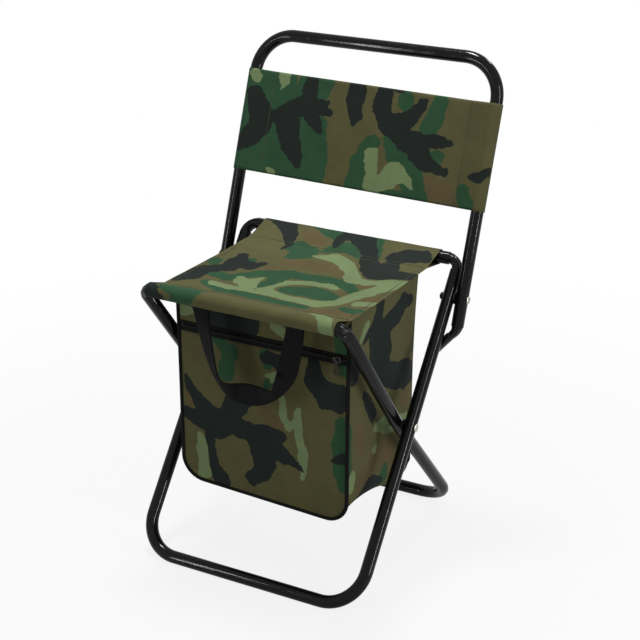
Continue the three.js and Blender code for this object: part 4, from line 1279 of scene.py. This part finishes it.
def zip_coil():
    """The closed coil: one flattened spiral of wire along the zip."""
    low, high = low_corner("zip_coil"), high_corner("zip_coil")
    turns = int((high[0] - low[0]) / COIL_PITCH)
    angles = np.linspace(0, 2 * math.pi * turns, turns * COIL_STEPS)
    x = low[0] + (high[0] - low[0]) * angles / angles[-1]
    mid, reach = (high + low) / 2, (high - low) / 2 - COIL_WIRE
    centre = columns(x, mid[1] + reach[1] * np.cos(angles), mid[2] + reach[2] * np.sin(angles))
    rings = []
    for spot, way in zip(centre, np.gradient(centre, axis=0)):
        way = unit(way)
        aside = unit(np.cross(way, (1, 0, 0)))
        rings.append(spot + COIL_WIRE * spokes(aside, np.cross(way, aside), WIRE_SIDES))
    faces = tube_faces(len(centre), WIRE_SIDES)
    coil = add_mesh("zip_coil_wire", np.concatenate(rings), faces, NYLON)
    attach(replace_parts(coil, "zip_coil"), "outer_frame")
    flatten(coil)


def plate(name, outline, near, far, edge, material, holes=()):
    """A flat plate with rounded edges. Its outline and holes hold X and Z, and near and far are its
    faces in Y."""
    made = bmesh.new()
    loops = []
    for ring in (outline, *holes):
        verts = [made.verts.new((x * MM, near * MM, z * MM)) for x, z in ring]
        loops += [made.edges.new((a, b)) for a, b in zip(verts, verts[1:] + verts[:1])]
    filled = bmesh.ops.triangle_fill(made, edges=loops, use_beauty=True, use_dissolve=False)
    faces = [item for item in filled["geom"] if isinstance(item, bmesh.types.BMFace)]
    grown = bmesh.ops.extrude_face_region(made, geom=faces, use_keep_orig=True)
    for item in grown["geom"]:
        if isinstance(item, bmesh.types.BMVert):
            item.co.y += (far - near) * MM
    bmesh.ops.recalc_face_normals(made, faces=made.faces)
    mesh = bpy.data.meshes.new(name)
    made.to_mesh(mesh)
    made.free()
    mesh.materials.append(material)
    obj = add_object(name, mesh)
    bevel = obj.modifiers.new("edges", "BEVEL")
    bevel.width = edge * MM
    bevel.segments = 3
    bevel.limit_method = "ANGLE"
    bevel.angle_limit = math.radians(50)
    settle(obj)
    obj.data.shade_smooth()
    return obj


def arc(x, z, across, up, angles):
    """Points of an oval at the given angles."""
    return [(x + across * math.cos(a), z + up * math.sin(a)) for a in angles]


ROUND = np.linspace(0, 2 * math.pi, 28, endpoint=False)
EYE_ARC = np.linspace(-0.6, math.pi + 0.6, 20)
TAIL_ARC = np.linspace(math.pi - 0.2, 2 * math.pi + 0.2, 18)
SLIDER_SHAPE = [
    (-5.5, 2.0), (-4.9, 2.6), (-2.5, 3.1), (0.5, 4.1), (3.4, 4.25), (4.9, 3.7), (5.5, 2.4)]
SLIDER_POST = [
    (1.25, -3.4), (1.2, -1.4), (2.1, -1.25), (2.2, -0.9), (2.0, -0.4), (1.2, -0.08), (0.1, 0)]
SLIDER_SET = (3.2, -1.2)
SLIDER_EDGE = 0.5
POST_SIDES = 28
POST_SINK = 0.1
PULL_TOP = 3.1
PULL_END = 3.8
PULL_LONGER = 5
PULL_WAIST = (2.0, -3.4)
PULL_EYE = 1.7
PULL_SLOT = (2.0, 5)
PULL_SLOT_UP = 3
PULL_EDGE = 0.35


def zip_slider():
    low, high = low_corner("zip_slider"), high_corner("zip_slider")
    at = middle("zip_slider")
    top = [(at[0] + x, at[2] + z) for x, z in SLIDER_SHAPE]
    under = [(at[0] + x, at[2] - z) for x, z in reversed(SLIDER_SHAPE)]
    near, far = low[1] + SLIDER_SET[0], high[1] + SLIDER_SET[1]
    body = plate("slider_plate", top + under, near, far, SLIDER_EDGE, STEEL)
    start = (at[0], low[1] + POST_SINK, at[2])
    pin = turned("slider_post", SLIDER_POST, start, (0, -1, 0), STEEL, POST_SIDES)
    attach(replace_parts(body, "zip_slider"), "zip_slider")
    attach(pin, "zip_slider")
    flatten(body)
    flatten(pin)


def zip_pull():
    low, high = low_corner("zip_pull"), high_corner("zip_pull")
    x, _, z = middle("zip_slider")
    foot = low[2] + PULL_END - PULL_LONGER
    half, drop = PULL_WAIST
    eye = arc(x, z, PULL_TOP, PULL_TOP, EYE_ARC)
    tail = arc(x, foot, PULL_END, PULL_END, TAIL_ARC)
    outline = eye + [(x - half, z + drop)] + tail + [(x + half, z + drop)]
    holes = (arc(x, z, PULL_EYE, PULL_EYE, ROUND), arc(x, foot + PULL_SLOT_UP, *PULL_SLOT, ROUND))
    tab = plate("pull_tab", outline, low[1], high[1], PULL_EDGE, PULL, holes)
    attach(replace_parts(tab, "zip_pull"), "zip_pull")
    flatten(tab)


zip_tape("zip_tape_lower")
zip_tape("zip_tape_upper")
zip_coil()
zip_slider()
zip_pull()


# Carrying handle: a strap that turns edge-on at its lower corners
HANDLE_WIDTH = 23
HANDLE_THICK = 1.8
HANDLE_TURN = 0.85
TURN_DROP = 40
LOOSE_DROP = 60
HANDLE_STEPS = 110
HANDLE_COLUMNS = 11
HANDLE_FOLDS = ((1.4, 38), (0.5, 13))
HANDLE_EDGES = [
    ((-76, 355.4), (-53.5, 355.4)),
    ((-72.5, 343), (-51.5, 346)),
    ((-65, 315), (-48.5, 318)),
    ((-57, 289), (-45, 292)),
    ((-45, 263), (-39, 267)),
    ((-27, 243), (-29, 260)),
    ((-6, 238), (-8, 264)),
    ((14, 240), (8, 265.5)),
    ((29, 247), (23, 264.5)),
    ((40, 255), (33, 264)),
    ((51, 265), (37, 275)),
    ((62, 279), (40.5, 290)),
    ((68, 292), (43.5, 302)),
    ((71.5, 309), (47, 318)),
    ((75, 331), (51.5, 338)),
    ((77, 355.4), (54.5, 355.4)),
]


def smooth_run(points, count):
    """A smooth curve through points, at equal steps."""
    points = np.asarray(points, float)
    padded = np.concatenate((2 * points[:1] - points[1:2], points, 2 * points[-1:] - points[-2:-1]))
    at = np.linspace(0, len(points) - 1, count)
    index = np.minimum(at.astype(int), len(points) - 2)
    s = (at - index)[:, None]
    a, b, c, d = (padded[index + k] for k in range(4))
    square, cube = 2 * a - 5 * b + 4 * c - d, 3 * b - a - 3 * c + d
    return 0.5 * (2 * b + (c - a) * s + square * s ** 2 + cube * s ** 3)


def handle():
    edges = [outer + inner for outer, inner in HANDLE_EDGES]
    outer_x, outer_z, inner_x, inner_z = smooth_run(edges, HANDLE_STEPS).T
    y = middle("carry_handle")[1]
    seen = np.hypot(inner_x - outer_x, inner_z - outer_z)
    turned_out = HANDLE_TURN * np.sqrt(np.clip(HANDLE_WIDTH ** 2 - seen ** 2, 0, None))
    turned_out *= clamp((outer_z[0] - outer_z) / TURN_DROP)
    outer = columns(outer_x, y, outer_z)
    inner = columns(inner_x, y, inner_z) + turned_out[:, None] * np.array(CAMERA_BACK)
    lengths = run_lengths((outer + inner) / 2)
    across = np.linspace(0, 1, HANDLE_COLUMNS)
    points = (outer[:, None] + across[None, :, None] * (inner - outer)[:, None]).reshape(-1, 3)
    loose = clamp((high_corner("carry_handle")[2] - points[:, 2]) / LOOSE_DROP)
    points[:, 1] += loose * folds(points, HANDLE_FOLDS, 41)
    strap = add_mesh("carry_strap", points, grid_faces(len(outer), len(across)), WEBBING)
    lay_cloth(strap, np.tile(across * HANDLE_WIDTH, len(outer)), np.repeat(lengths, len(across)))
    thicken(strap, HANDLE_THICK, 0)
    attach(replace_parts(strap, "carry_handle"), "carry_handle")
    flatten(strap)


handle()


# Floor, light and camera. Seen by the camera, floor and sky are white, and the floor near the
# stool keeps a faint shadow. Mirrored rays see part of that white.
FLOOR_HALF = 4e4
FLOOR_SHADE = 0.46
SKY = 0.455
MIRRORED = 0.3
SHADOW_ZONE = (0.3, 1.1)
SHADOW_SHARE = 0.85
WHITE = (1, 1, 1, 1)
LAMP_AIM = Vector((0, 0, 0.3))
LAMPS = (
    ("key", (-0.3, 0.25, 2.6), (0.5, 0.5), 54),
    ("front", (-0.9, -1.6, 0.5), (0.06, 1.3), 6.9),
    ("side", (2.3, -0.4, 1.1), (0.08, 2.0), 32),
    ("rim", (0.4, 1.9, 1.8), (0.35, 0.35), 10),
)


def white_floor():
    made = Finish("white_floor", Base_Color=(*[FLOOR_SHADE] * 3, 1), Roughness=0.9)
    rays = made.node("LightPath").outputs
    glow = made.node("Emission", {"Color": WHITE, "Strength": 1.0})
    mirrored = made.math("MAXIMUM", rays["Is Glossy Ray"], rays["Is Transmission Ray"])
    away = made.node("VectorMath", {0: made.place()}, operation="LENGTH").outputs["Value"]
    clear = made.step(away, *SHADOW_ZONE, SHADOW_SHARE, 1.0)
    direct = made.math("MULTIPLY", rays["Is Camera Ray"], clear)
    share = made.math("MAXIMUM", direct, made.math("MULTIPLY", mirrored, MIRRORED))
    inputs = {0: share, 1: made.shader.outputs[0], 2: glow.outputs[0]}
    seen = made.node("MixShader", inputs)
    made.put(made.tree.nodes["Material Output"].inputs[0], seen.outputs[0])
    return made.material


def studio():
    corners = [(x * FLOOR_HALF, y * FLOOR_HALF, 0) for x, y in ((-1, -1), (1, -1), (1, 1), (-1, 1))]
    add_mesh("floor", corners, [(0, 1, 2, 3)], white_floor())
    world = bpy.data.worlds.new("studio")
    bpy.context.scene.world = world
    world.use_nodes = True
    made = Nodes(world.node_tree)
    rays = made.node("LightPath").outputs
    strength = SKY
    for ray, white in (("Camera", 1.0), ("Glossy", MIRRORED), ("Transmission", MIRRORED)):
        level = made.step(rays[f"Is {ray} Ray"], 0.0, 1.0, SKY, SKY + white * (1 - SKY))
        strength = made.math("MAXIMUM", strength, level)
    sky = world.node_tree.nodes["Background"]
    made.put(sky.inputs["Color"], WHITE)
    made.put(sky.inputs["Strength"], strength)
    for name, place, size, power in LAMPS:
        lamp = bpy.data.lights.new(name, "AREA")
        lamp.shape = "RECTANGLE"
        lamp.size, lamp.size_y = size
        lamp.energy = power
        obj = add_object(name, lamp)
        obj.location = place
        obj.rotation_euler = (LAMP_AIM - obj.location).to_track_quat("-Z", "Y").to_euler()


def camera():
    data = bpy.data.cameras.new("camera")
    data.lens = CAMERA_LENS
    data.sensor_width = SENSOR_WIDTH
    obj = add_object("camera", data)
    up = CAMERA_BACK.cross(CAMERA_RIGHT)
    turn = Matrix((CAMERA_RIGHT, up, CAMERA_BACK)).transposed().to_4x4()
    obj.matrix_world = Matrix.Translation(CAMERA_AT) @ turn
    bpy.context.scene.camera = obj


studio()
camera()
bpy.context.scene.view_settings.view_transform = "Standard"
